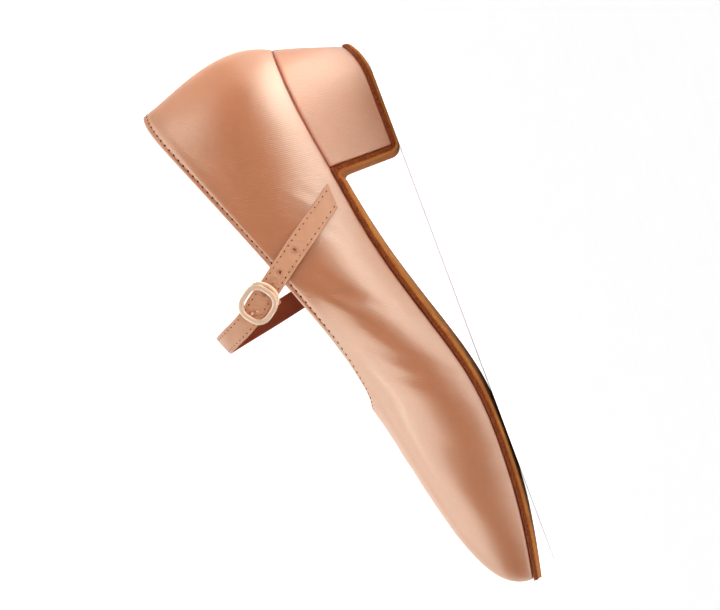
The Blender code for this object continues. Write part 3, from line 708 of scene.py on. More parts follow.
# The heel's satin is the upper's, set a little darker as painted shade.
HEEL_SATIN = Satin("duchess_satin_heel", roughness=0.22, specular=0.65, colour="C9743E", deep="B86432",
                   lean=1.0, rib_mm=0.95, rib_show=0.55, rib_height=0.022)
LINING = Leather("pigskin_lining", roughness=0.6, colour="C08A62", deep="B67F58", grain_mm=0.9)
SOCK = Leather("sock_lining_leather", roughness=0.65, colour="D2A27C", deep="C99872", grain_mm=0.8)
SOLE_SUEDE = Suede("chrome_suede_split", roughness=0.95, specular=0.2)
FIBRE_SUEDE = Suede("suede_cut_fibres", roughness=1.0, specular=0.1, face="E8935C", worn="A0481E",
                    nap_mm=0.45)
STRAP_FACE = Leather("coated_calf_strap", roughness=0.36, specular=0.5)
STRAP_BACK = Leather("strap_backing_leather", roughness=0.55, colour="A94A22", deep="853616", grain_mm=0.5)
GOLD = GoldPlate("pale_gold_plate", roughness=0.30, metallic=0.5)
# dark stitch beads: the thread and the painted shade of its needle holes
THREAD_AND_HOLE_SHADE = Thread("thread_and_painted_hole_shade", roughness=0.9, specular=0.15)
PAPER = StudioPaper("white_background_paper", roughness=0.9, specular=0.1)


# ------------------------------------------------------------------ meshes
def grid_mesh(name: str, points: Array, wrap: tuple[bool, bool], uv: Array | None = None,
              marks: dict[str, Array] | None = None, caps: bool = False) -> Mesh:
    """Smooth mesh of quads over a grid of points.

    Args:
        name: the mesh's name.
        points: (rows, columns, 3) in shoe millimetres.
        wrap: whether the last row joins the first, and the last column the first.
        uv: a row and column for each point, one more where that way wraps, in metres,
            for a map named "cloth".
        marks: number for each point, stored as an attribute of that name.
        caps: close the first and last rows with fans.

    Returns:
        The mesh, with its faces turned outwards.
    """
    rows, columns = points.shape[:2]
    i, j = np.meshgrid(np.arange(rows if wrap[0] else rows - 1),
                       np.arange(columns if wrap[1] else columns - 1), indexing="ij")
    i, j = i.ravel(), j.ravel()
    corners = [(i, j), (i + 1, j), (i + 1, j + 1), (i, j + 1)]
    faces = np.stack([(a % rows) * columns + b % columns for a, b in corners], 1).tolist()
    verts = SHOE.to_frame(points).reshape(-1, 3)
    if caps:
        for row, order in ((0, range(columns)), (rows - 1, range(columns - 1, -1, -1))):
            hub = len(verts)
            verts = np.vstack([verts, verts[row * columns:(row + 1) * columns].mean(0)])
            ring = [row * columns + k for k in order]
            faces += [[hub, ring[k], ring[(k + 1) % columns]] for k in range(columns)]
    mesh = bpy.data.meshes.new(name)
    mesh.from_pydata(verts.tolist(), [], faces)
    if uv is not None:
        flat = np.stack([uv[a, b] for a, b in corners], 1).reshape(-1, 2)
        flat = np.vstack([flat, np.zeros((len(mesh.loops) - len(flat), 2))])
        mesh.uv_layers.new(name="cloth").data.foreach_set("uv", flat.ravel())
    for label, values in (marks or {}).items():
        full = np.zeros(len(mesh.vertices))
        full[:rows * columns] = np.asarray(values, float).ravel()
        mesh.attributes.new(label, "FLOAT", "POINT").data.foreach_set("value", full)
    return outward_mesh(mesh)


def outward_mesh(mesh: Mesh) -> Mesh:
    """Turn a mesh's faces outwards and shade it smooth.

    Args:
        mesh: a closed mesh.

    Returns:
        The same mesh.
    """
    form = bmesh.new()
    form.from_mesh(mesh)
    bmesh.ops.recalc_face_normals(form, faces=form.faces)
    if form.calc_volume(signed=True) < 0.0:
        bmesh.ops.reverse_faces(form, faces=form.faces)
    form.to_mesh(mesh)
    form.free()
    mesh.shade_smooth()
    return mesh


def tube_mesh(name: str, points: Array, radii: Array, sides: int = 18, flat: float = 1.0,
              up: Array | None = None) -> Mesh:
    """Round or oval bar along a line.

    Args:
        name: the mesh's name.
        points: the line, in shoe millimetres.
        radii: half the bar's thickness at each point.
        sides: points round the bar.
        flat: the bar's width over its thickness.
        up: direction of the thickness, where the bar is oval.

    Returns:
        The closed mesh.
    """
    points = np.asarray(points, float)
    tangent = unit(np.gradient(points, axis=0))
    turn = np.linspace(0.0, 2.0 * math.pi, sides, endpoint=False)[:, None]
    guide = np.array([0.3, 0.5, 0.8]) if up is None else np.asarray(up, float)
    rings = []
    for point, along, radius in zip(points, tangent, np.broadcast_to(radii, len(points))):
        guide = unit(guide - along * np.dot(guide, along))
        aside = np.cross(along, guide)
        rings.append(point + radius * (np.cos(turn) * guide + flat * np.sin(turn) * aside))
    return grid_mesh(name, np.array(rings), (False, True), caps=True)


def add_object(data: ID, finish: Finish | None = None) -> Object:
    """Object at the origin.

    Args:
        data: its mesh, light or camera, whose name it takes.
        finish: what its mesh is dressed in.

    Returns:
        The object.
    """
    item = bpy.data.objects.new(data.name, data)
    bpy.context.scene.collection.objects.link(item)
    if finish is not None:
        data.materials.clear()
        data.materials.append(finish.material())
    return item


def settle(item: Object) -> None:
    """Turn an object's live modifiers into plain mesh.

    Args:
        item: the object.
    """
    view = bpy.context.evaluated_depsgraph_get()
    mesh = bpy.data.meshes.new_from_object(item.evaluated_get(view))
    mesh.name = item.name
    item.modifiers.clear()
    item.data = mesh


def cut_away(item: Object, tool: Mesh) -> None:
    """Cut a closed form out of an object.

    Args:
        item: the object.
        tool: mesh of the form.
    """
    cutter = add_object(tool)
    step = item.modifiers.new("cut", "BOOLEAN")
    step.operation, step.object, step.solver = "DIFFERENCE", cutter, "EXACT"
    settle(item)
    bpy.data.objects.remove(cutter)


def hand_over(item: Object, slot: Slot, *nodes: str) -> None:
    """Hang a piece on the shoe's body, hide the CAD parts that it stands for, and log it.

    Args:
        item: the piece, which rides on the shoe's one body.
        slot: its material slot; not used.
        nodes: the CAD nodes that it stands for.
    """
    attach(item, "root")
    if nodes:
        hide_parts(*nodes)
    LOG.info("%s: %d faces, stands for %s", item.name, len(item.data.polygons), ", ".join(nodes) or "itself")


# ------------------------------------------------------------------ node trees that repeat things
def begin_tree(name: str, sizes: dict[str, float]) -> tuple[Adder, Node]:
    """Geometry tree with a geometry input, named sizes and a material input.

    Args:
        name: the tree's name.
        sizes: each size input's name and usual value.

    Returns:
        add_node() for the tree, and its input node.
    """
    tree = bpy.data.node_groups.new(name, "GeometryNodeTree")
    tree.interface.new_socket("Geometry", in_out="INPUT", socket_type="NodeSocketGeometry")
    for label, value in sizes.items():
        socket = tree.interface.new_socket(label, in_out="INPUT", socket_type="NodeSocketFloat")
        socket.default_value = value
    tree.interface.new_socket("Finish", in_out="INPUT", socket_type="NodeSocketMaterial")
    tree.interface.new_socket("Geometry", in_out="OUTPUT", socket_type="NodeSocketGeometry")
    return partial(add_node, tree), tree.nodes.new("NodeGroupInput")


def end_tree(add: Adder, given: Node, shape: Node) -> NodeTree:
    """Realize, dress and output a tree's shape.

    Args:
        add: add_node() for the tree.
        given: the tree's input node.
        shape: the node that makes the shape.

    Returns:
        The tree.
    """
    real = add("GeometryNodeRealizeInstances", {0: shape})
    dressed = add("GeometryNodeSetMaterial", {"Geometry": real, "Material": given.outputs["Finish"]})
    add("NodeGroupOutput", {0: dressed})
    return given.id_data


def grow(item: Object, tree: NodeTree, finish: Finish, sizes: dict[str, float]) -> None:
    """Run a geometry tree on an object and keep the result as plain mesh.

    Args:
        item: the object.
        tree: the tree.
        finish: what it dresses the shape in.
        sizes: a value for each size input.
    """
    step = item.modifiers.new(tree.name, "NODES")
    step.node_group = tree
    values = {**sizes, "Finish": finish.material()}
    for socket in tree.interface.items_tree:
        if socket.in_out == "INPUT" and socket.name in values:
            step[socket.identifier] = values[socket.name]
    settle(item)


class Trees:
    """The geometry trees, each built once."""

    @staticmethod
    @cache
    def stitches() -> NodeTree:
        """Small oval beads at even steps along a line, turned to the attribute `skin`.

        Returns:
            The tree.
        """
        add, given = begin_tree("stitches", {"Pitch": 3.0 * MM, "Length": 0.9 * MM, "Width": 0.5 * MM,
                                             "Height": 0.3 * MM, "Sink": 0.1 * MM})
        line = add("GeometryNodeMeshToCurve", {"Mesh": given})
        spots = add("GeometryNodeResampleCurve", {"Curve": line, "Length": given.outputs["Pitch"]},
                    mode="LENGTH")
        skin = add("GeometryNodeInputNamedAttribute", {"Name": "skin"}, data_type="FLOAT_VECTOR")
        way = add("GeometryNodeInputTangent")
        turn = add("FunctionNodeAxesToRotation", {0: skin, 1: way}, primary_axis="Z", secondary_axis="X")
        bead = add("GeometryNodeMeshUVSphere", {"Segments": 8, "Rings": 6, "Radius": 0.5})
        size = add("ShaderNodeCombineXYZ", {0: given.outputs["Length"], 1: given.outputs["Width"],
                                            2: given.outputs["Height"]})
        sown = add("GeometryNodeInstanceOnPoints", {"Points": spots, "Instance": bead, "Rotation": turn,
                                                    "Scale": size})
        down = add(MATH, {0: given.outputs["Sink"], 1: -1.0}, operation="MULTIPLY")
        drop = add("ShaderNodeCombineXYZ", {2: down})
        sunk = add("GeometryNodeTranslateInstances", {"Instances": sown, "Translation": drop,
                                                      "Local Space": True})
        return end_tree(add, given, sunk)

    @staticmethod
    @cache
    def fibres() -> NodeTree:
        """Short tapered fibres scattered where the attribute `edge` is high.

        Returns:
            The tree.
        """
        add, given = begin_tree("fibres", {"Density": 6.0e6, "Length": 0.6 * MM, "Thickness": 0.09 * MM})
        edge = add("GeometryNodeInputNamedAttribute", {"Name": "edge"}, data_type="FLOAT")
        thick = add(MATH, {0: edge, 1: given.outputs["Density"]}, operation="MULTIPLY")
        spots = add("GeometryNodeDistributePointsOnFaces", {"Mesh": given, "Density": thick, "Seed": 7})
        hair = add("GeometryNodeMeshCone", {"Vertices": 3, "Radius Top": 0.15, "Radius Bottom": 1.0,
                                            "Depth": 1.0}, fill_type="NGON")
        tilt = add("FunctionNodeRandomValue", {0: (-1.2, -1.2, 0.0), 1: (1.2, 1.2, 6.28), "Seed": 3},
                   data_type="FLOAT_VECTOR")
        turn = add("FunctionNodeRotateRotation", {0: spots.outputs["Rotation"], 1: tilt},
                   rotation_space="LOCAL")
        grown = add("FunctionNodeRandomValue", {2: 0.35, 3: 1.0, "Seed": 11}, data_type="FLOAT")
        tall = add(MATH, {0: grown, 1: given.outputs["Length"]}, operation="MULTIPLY")
        thin = given.outputs["Thickness"]
        size = add("ShaderNodeCombineXYZ", {0: thin, 1: thin, 2: tall})
        sown = add("GeometryNodeInstanceOnPoints", {"Points": spots, "Instance": hair, "Rotation": turn,
                                                    "Scale": size})
        return end_tree(add, given, sown)

    @staticmethod
    @cache
    def ring() -> NodeTree:
        """A flat bar with eased edges, swept round a rectangle with facetted corners.

        Returns:
            The tree.
        """
        add, given = begin_tree("buckle_ring", {"Long": 13.4 * MM, "Wide": 12.4 * MM, "Corner": 4.1 * MM,
                                                "Face": 2.6 * MM, "Thick": 1.6 * MM, "Ease": 0.5 * MM})
        curves = []
        for names in (("Long", "Wide", "Corner"), ("Face", "Thick", "Ease")):
            width, height, radius = (given.outputs[name] for name in names)
            oblong = add("GeometryNodeCurvePrimitiveQuadrilateral", {"Width": width, "Height": height})
            curves.append(add("GeometryNodeFilletCurve", {"Curve": oblong, "Count": 5, "Limit Radius": True,
                                                          "Radius": radius}, mode="POLY"))
        swept = add("GeometryNodeCurveToMesh", {"Curve": curves[0], "Profile Curve": curves[1]})
        smooth = add("GeometryNodeSetShadeSmooth", {"Geometry": swept})
        return end_tree(add, given, smooth)


@dataclass(frozen=True)
class Stitch:
    """One stitch with its needle hole: how far apart, how big, and how deep it lies."""

    pitch: float
    length: float
    width: float
    height: float
    sink: float

    def row(self, name: str, points: Array, normals: Array, closed: bool) -> Object:
        """Row of stitches along a line on a surface.

        Args:
            name: the piece's name.
            points: the line, in shoe millimetres.
            normals: the surface's outward direction at each point.
            closed: whether the line joins its own start.

        Returns:
            The piece.
        """
        count = len(points)
        mesh = bpy.data.meshes.new(name)
        edges = [(k, (k + 1) % count) for k in range(count if closed else count - 1)]
        mesh.from_pydata(SHOE.to_frame(points).tolist(), edges, [])
        skin = mesh.attributes.new("skin", "FLOAT_VECTOR", "POINT")
        skin.data.foreach_set("vector", (np.asarray(normals) * [-1.0, 1.0, 1.0]).ravel())
        item = add_object(mesh)
        sizes = {label.title(): size * MM for label, size in vars(self).items()}
        grow(item, Trees.stitches(), THREAD_AND_HOLE_SHADE, sizes)
        item.data.shade_smooth()
        return item


# ------------------------------------------------------------------ upper
@dataclass(frozen=True)
class Crease:
    """One soft trough or ridge of the satin, laid in the side view or in plan."""

    side: Side | None           # None lays it in plan, over the vamp
    start: Spot                 # (s, h), or (s, y) in plan
    end: Spot
    depth: float                # into the satin, negative for a ridge
    width: float
    bow: float = 0.0            # how far its middle bends aside

    def press(self, place: Array) -> Array:
        """Depth pressed into the satin.

        Args:
            place: points (s, y, h) of the satin.

        Returns:
            The depth at each point.
        """
        s, y, h = np.moveaxis(place, -1, 0)
        if self.side is None:
            other, here = y, ramp(h, 12.0, 24.0)
        else:
            other, here = h, ramp(y * self.side.value, 2.0, 12.0)
        start, end = np.array(self.start), np.array(self.end)
        length = float(np.linalg.norm(end - start))
        way = (end - start) / length
        rel = np.stack([s - start[0], other - start[1]], -1)
        along = rel @ way
        swing = np.sin(math.pi * np.clip(along / length, 0.0, 1.0))
        aside = rel @ np.array([-way[1], way[0]]) - self.bow * swing
        past = np.maximum(np.maximum(-along, along - length), 0.0)
        fade = hump(past, 3.0 * self.width) * (0.35 + 0.65 * swing)
        return self.depth * hump(aside, self.width) * fade * here


@dataclass
class Upper:
    """Satin upper with its turned topline, leather lining and topline stitching."""

    shoe: Shoe
    columns_per_row: int = 24
    rails: int = 60
    crowding: float = 0.06          # how far the rails gather at the feather and the topline
    rim_radius: float = 0.55        # of the topline's rolled edge
    rim_below: float = 0.45         # where the roll starts
    rim_height: float = 0.8         # of the roll over its radius
    grain_from: float = 60.0        # s from which the cloth's run round the heel is measured
    grain_turn: Spot = (30.0, 80.0)     # s over which its grain turns from round the heel to forward
    stitch_depth: float = 1.6       # stitch row below the topline
    stitch: Stitch = Stitch(pitch=3.0, length=1.15, width=0.74, height=0.36, sink=0.05)
    lining_thick: float = 0.65
    lining_below: float = 1.1       # lining's raw edge below the topline
    rolled_edge: Swell = Swell(0.16, 0.7, 0.8)
    groove: Swell = Swell(-0.22, 0.0, 0.45)         # under the stitch row
    pucker: Swell = Swell(0.05, 0.0, 1.1)           # between its stitches
    hem: Swell = Swell(0.10, 3.6, 2.0)
    lasting_pull: Swell = Swell(0.10, 1.5, 3.5)     # uneven pull along the feather line
    pull_pitch: float = 7.0
    tuck: float = 0.35              # how far the satin draws in at the feather line
    tuck_width: float = 1.4
    slack: float = 0.12             # unevenness of the whole wall
    slack_pitch: float = 26.0
    feather_shade: Swell = Swell(0.95, 0.0, 1.0)    # painted shade into the feather seam
    # painted shade below the rolled topline and over the turned edge inside
    rim_shade: Swell = Swell(0.5, 0.0, 0.35)
    creases: tuple[Crease, ...] = (
        Crease(Side.OUTER, (94.0, 53.0), (111.0, 34.0), 0.55, 3.2, 1.5),
        Crease(Side.OUTER, (101.0, 52.0), (116.0, 36.0), -0.30, 3.0, 1.0),
        Crease(Side.OUTER, (72.0, 46.0), (86.0, 33.0), 0.25, 2.2, -0.8),
        Crease(Side.OUTER, (58.0, 45.0), (68.5, 34.5), 0.12, 1.5, 0.4),
        Crease(Side.OUTER, (61.5, 47.0), (70.0, 38.0), -0.10, 1.2, 0.4),
        Crease(Side.OUTER, (63.2, 35.4), (81.0, 60.4), -0.32, 2.8, 0.0),
        Crease(Side.OUTER, (124.0, 44.0), (146.0, 17.0), 0.45, 3.6, 1.8),
        Crease(Side.OUTER, (134.0, 44.0), (153.0, 16.0), 0.40, 3.0, 1.5),
        Crease(Side.INNER, (112.0, 44.0), (130.0, 24.0), 0.45, 3.4, 1.6),
        Crease(Side.INNER, (84.0, 46.0), (100.0, 31.0), 0.40, 3.6, -1.5),
        Crease(None, (168.0, -27.0), (163.0, 28.0), 0.18, 4.2, 4.0),
        Crease(None, (177.0, -28.0), (172.0, 29.0), 0.22, 4.4, 4.5),
        Crease(None, (187.0, -27.0), (183.0, 27.0), 0.14, 4.0, 4.0),
    )

    def __post_init__(self) -> None:
        """Lay out the skin: its grid, its run from the feather and from the topline, and its relief."""
        around = np.arange(self.columns_per_row * len(self.shoe.rows)) / self.columns_per_row
        even = np.linspace(0.0, 1.0, self.rails)
        share = even - self.crowding * np.sin(2.0 * math.pi * even)
        whole = self.shoe.surface(around, share)
        length = np.linalg.norm(np.diff(whole, axis=1), axis=2).sum(1)
        self.grid = self.shoe.surface(around, share * (1.0 - self.rim_below / length)[:, None])
        steps = np.linalg.norm(np.diff(self.grid, axis=1), axis=2)
        self.run = np.concatenate([np.zeros((len(steps), 1)), np.cumsum(steps, axis=1)], 1)
        self.below = self.run[:, -1:] - self.run
        self.normal = self.normals()
        self.rise = unit(self.grid[:, -1] - self.grid[:, -2])
        self.face = self.grid + self.normal * self.relief()[..., None]

    def normals(self) -> Array:
        """Outward normals of the skin.

        Returns:
            One for each point of the grid.
        """
        by_u = np.roll(self.grid, -1, 0) - np.roll(self.grid, 1, 0)
        normal = unit(np.cross(by_u, np.gradient(self.grid, axis=1)))
        at_back = normal[0, self.rails // 2]
        return normal if at_back[0] < 0.0 else -normal

    def relief(self) -> Array:
        """How far the satin stands off the last.

        Returns:
            The distance at each point of the grid.
        """
        round_top = run_round(self.grid[:, -1])[:-1, None]
        round_foot = run_round(self.grid[:, 0])[:-1, None]
        off_row = self.below - self.stitch_depth
        rise = self.rolled_edge.rise(self.below) + self.groove.rise(off_row) + self.hem.rise(self.below)
        rise += np.cos(2.0 * math.pi * round_top / self.stitch.pitch) * self.pucker.rise(off_row)
        rise -= self.tuck * np.clip(1.0 - self.run / self.tuck_width, 0.0, None) ** 2
        rise += waves(round_foot, self.pull_pitch, seed=5) * self.lasting_pull.rise(self.run)
        uneven = waves(self.grid[..., 0] + self.grid[..., 2] * 0.4, self.slack_pitch, seed=9)
        rise += self.slack * uneven * ramp(self.run, 2.0, 8.0)
        for crease in self.creases:
            rise -= crease.press(self.grid)
        return rise

    def cloth_map(self) -> Array:
        """Flat map of the satin, with the grain along the shoe.

        Returns:
            A pair in metres for each point of the grid, and the first column again.
        """
        middle = self.grid[:, self.rails // 2]
        loop = run_round(middle)
        from_back = np.minimum(loop, loop[-1] - loop)
        start = int(np.argmin(np.abs(middle[:len(middle) // 2, 0] - self.grain_from)))
        arc = from_back - loop[start] + self.grain_from
        s, y, h = np.moveaxis(np.concatenate([self.grid, self.grid[:1]], 0), -1, 0)
        forward = ramp(s, *self.grain_turn)
        return np.stack([arc[:, None] * (1.0 - forward) + s * forward, h - np.abs(y)], -1) * MM

    def satin(self) -> Object:
        """Outer layer: skin, rolled topline and the turned edge inside.

        Returns:
            The piece.
        """
        out = self.normal[:, None, -1]
        turn = np.linspace(0.0, math.pi, 9)[1:-1, None]
        curl = np.cos(turn) * out + self.rim_height * np.sin(turn) * self.rise[:, None]
        rim = self.face[:, None, -1] - out * self.rim_radius + self.rim_radius * curl
        inside = (self.grid - self.normal * 2.0 * self.rim_radius)[:, ::-4]
        folded = np.concatenate([rim, inside], 1)
        uv = self.cloth_map()
        uv = np.concatenate([uv, np.repeat(uv[:, -1:], folded.shape[1] + 1, 1)], 1)
        # painted shade along the feather seam, below the rolled topline and on the turned edge
        painted_seam_shade = self.feather_shade.rise(self.run) + self.rim_shade.rise(self.below)
        painted_seam_shade = np.concatenate([painted_seam_shade, np.full(folded.shape[:2], self.rim_shade.height)], 1)
        points = np.concatenate([self.face, folded], 1)
        return add_object(grid_mesh("upper_satin", points, (True, True), uv, {"painted_seam_shade": painted_seam_shade}), UPPER_SATIN)

    def lining(self) -> Object:
        """Inner layer of lining leather, with a raw edge just below the topline.

        Returns:
            The piece.
        """
        grid, normal = self.grid[::2, ::2], self.normal[::2, ::2]
        near_top = self.below[::2, ::2, None] < self.lining_below
        edge = grid - near_top * self.lining_below * unit(grid[:, -1] - grid[:, -2])[:, None]
        outer = edge - normal * (self.shoe.wall - self.lining_thick)
        inner = edge - normal * self.shoe.wall
        points = np.concatenate([outer, inner[:, ::-1]], 1)
        return add_object(grid_mesh("upper_lining", points, (True, True)), LINING)

    def stitching(self) -> Object:
        """Needle holes with their thread, in one row round the topline.

        Returns:
            The piece.
        """
        stops = self.run[:, -1] - self.stitch_depth
        line, lean = (np.array([[np.interp(stop, run, column[:, k]) for k in range(3)]
                                for stop, run, column in zip(stops, self.run, values)])
                      for values in (self.face, self.normal))
        return self.stitch.row("topline_stitches", line, unit(lean), True)

    def build(self) -> None:
        """Make and hand over the upper's pieces."""
        hand_over(self.satin(), Slot.SATIN, "upper")
        hand_over(self.lining(), Slot.SOCK)
        hand_over(self.stitching(), Slot.SATIN)


# ------------------------------------------------------------------ bottom
class Section(NamedTuple):
    """One cross-section of the sole: its points, and how much of the cut edge each one shows."""

    points: Array
    mark: Array


@dataclass
class Sole:
    """Suede sole in one sheet: forefoot, shank, down the breast and under the heel."""

    shoe: Shoe
    across: int = 45
    hollow: float = 2.5             # radius where the shank turns down the breast
    corner: float = 4.6             # radius where the breast turns under the heel
    turn_steps: int = 10
    bulge: float = 0.22             # of the cut edge
    turned: float = 0.7             # radius of the turned tread edge
    gap_closed: float = 0.17        # how far the glued face's rim rises to meet the satin
    edge_steps: tuple[float, ...] = (0.1, 0.3, 0.5, 0.68, 0.76, 0.9)
    edge_marks: tuple[float, ...] = (1.0, 1.0, 1.0, 1.0, 0.85, 0.15)
    roughness: float = 0.05
    fibre_length: float = 0.9
    fibre_thick: float = 0.06
    fibre_density: float = 14.0e6   # in a square metre of cut edge

    def __post_init__(self) -> None:
        """Work out where the sheet turns."""
        shoe = self.shoe
        self.share = crowded(self.across)
        self.outline = shoe.outline(-shoe.sole_proud)
        self.base = shoe.across(self.outline, shoe.breast_s, self.share)
        self.glued_s = shoe.breast_s + shoe.gap
        self.tread_s = self.glued_s + shoe.sole
        self.seat_s = self.tread_s + self.hollow
        self.under_s = self.tread_s - self.corner
        self.top = shoe.feather_height(shoe.breast_s)[0] - shoe.gap
        self.low = self.top - shoe.sole - self.hollow

    def section(self, y: Array, glued: tuple[float, Array], tread: tuple[float, Array]) -> Section:
        """One cross-section of the sheet.

        Args:
            y: places across it.
            glued: (s, h) of the face that is glued on.
            tread: (s, h) of the face that is walked on.

        Returns:
            Its points, from the glued face over one cut edge, the tread and the other edge.
        """
        glued, tread = crossing(y, *glued), crossing(y, *tread)
        span = unit(glued - tread)
        rim = np.minimum(y - y[0], y[-1] - y)
        turned = self.turned - np.sqrt(self.turned**2 - np.clip(self.turned - rim, 0.0, None) ** 2)
        tread = tread + span * turned[:, None]
        glued = glued + span * (self.gap_closed * hump(rim, 1.0))[:, None]
        steps = np.array(self.edge_steps)[:, None]
        sides = []
        for k, sign in ((-1, 1.0), (0, -1.0)):
            side = glued[k] * (1.0 - steps) + tread[k] * steps
            side[:, 1] += sign * self.bulge * np.sin(math.pi * steps[:, 0])
            sides.append(side)
        points = np.vstack([glued, sides[0], tread[::-1], sides[1][::-1]])
        mark = np.concatenate([np.ones(self.across), self.edge_marks,
                               np.zeros(self.across), self.edge_marks[::-1]])
        return Section(points, mark)

    def quarter(self) -> list[tuple[float, float]]:
        """Share and angle of each step round a quarter turn."""
        parts = range(1, self.turn_steps + 1)
        return [(k / self.turn_steps, math.radians(90.0 * k / self.turn_steps)) for k in parts]

    def forefoot(self) -> list[Section]:
        """Sections from the toe back to the end of the shank.

        Returns:
            The sections.
        """
        shoe, found = self.shoe, []
        toe = self.outline[:, 0].max() - 0.02
        for turn in np.linspace(0.0, math.pi / 2, 150):
            s = toe - (toe - self.seat_s) * (1.0 - math.cos(turn))
            top = shoe.feather_height(s)[0] - shoe.gap - shoe.sag(s) * (1.0 - self.share**2)
            y = shoe.across(self.outline, s, self.share)
            found.append(self.section(y, (s, top), (s, np.maximum(top - shoe.sole, 0.0))))
        return found

    def breast(self) -> list[Section]:
        """Sections round the hollow, down the breast and round the corner under the heel.

        Returns:
            The sections.
        """
        shoe, found = self.shoe, []
        for part, angle in self.quarter():
            s = self.seat_s - (self.seat_s - self.glued_s) * min(2.0 * part, 1.0)
            upper = shoe.feather_height(s)[0] - shoe.gap
            h = upper - (upper - self.low) * max(2.0 * part - 1.0, 0.0)
            turned_s = self.tread_s + self.hollow * (1.0 - math.sin(angle))
            turned_h = self.low + self.hollow * math.cos(angle)
            found.append(self.section(self.base * shoe.heel_scale(1.0), (s, h), (turned_s, turned_h)))
        for h in np.linspace(self.low, self.corner, 24)[1:]:
            y = self.base * shoe.heel_scale((h - shoe.sole) / (self.top - shoe.sole))
            found.append(self.section(y, (self.glued_s, h), (self.tread_s, h)))
        for part, angle in self.quarter():
            s = self.glued_s - (self.glued_s - self.under_s) * max(2.0 * part - 1.0, 0.0)
            h = self.corner - (self.corner - shoe.sole) * min(2.0 * part, 1.0)
            turned_s = self.under_s + self.corner * math.cos(angle)
            turned_h = self.corner * (1.0 - math.sin(angle))
            found.append(self.section(self.base * shoe.heel_scale(0.0), (s, h), (turned_s, turned_h)))
        return found

    def under_heel(self) -> list[Section]:
        """Sections under the heel, to its back.

        Returns:
            The sections.
        """
        shoe, found = self.shoe, []
        foot = np.column_stack([shoe.shrink_s(self.outline[:, 0], shoe.heel_back_in),
                                self.outline[:, 1] * shoe.heel_taper])
        back = foot[:, 0].min() + 0.02
        for turn in np.linspace(0.0, math.pi / 2, 61)[1:]:
            s = back + (self.under_s - back) * (1.0 - math.sin(turn))
            lift = float(shoe.heel_rise(s))
            found.append(self.section(shoe.across(foot, s, self.share), (s, shoe.sole + lift), (s, lift)))
        return found

    def build(self) -> None:
        """Make the sheet and the fibres of its cut edge, and hand them over."""
        found = self.forefoot() + self.breast() + self.under_heel()
        points, marks = (np.array(rows) for rows in zip(*found))
        rough = np.random.default_rng(21).normal(0.0, self.roughness, marks.shape) * marks
        points[..., 1] += rough * np.sign(points[..., 1])
        sheet = grid_mesh("outsole_suede", points, (False, True), marks={"edge": marks}, caps=True)
        hand_over(add_object(sheet, SOLE_SUEDE), Slot.SUEDE, "outsole")
        marks[:, :self.across] = 0.0
        mesh = grid_mesh("sole_edge_fibres", points, (False, True), marks={"edge": marks}, caps=True)
        fuzz = add_object(mesh)
        grow(fuzz, Trees.fibres(), FIBRE_SUEDE, {"Density": self.fibre_density,
                                                 "Length": self.fibre_length * MM,
                                                 "Thickness": self.fibre_thick * MM})
        hand_over(fuzz, Slot.SUEDE)


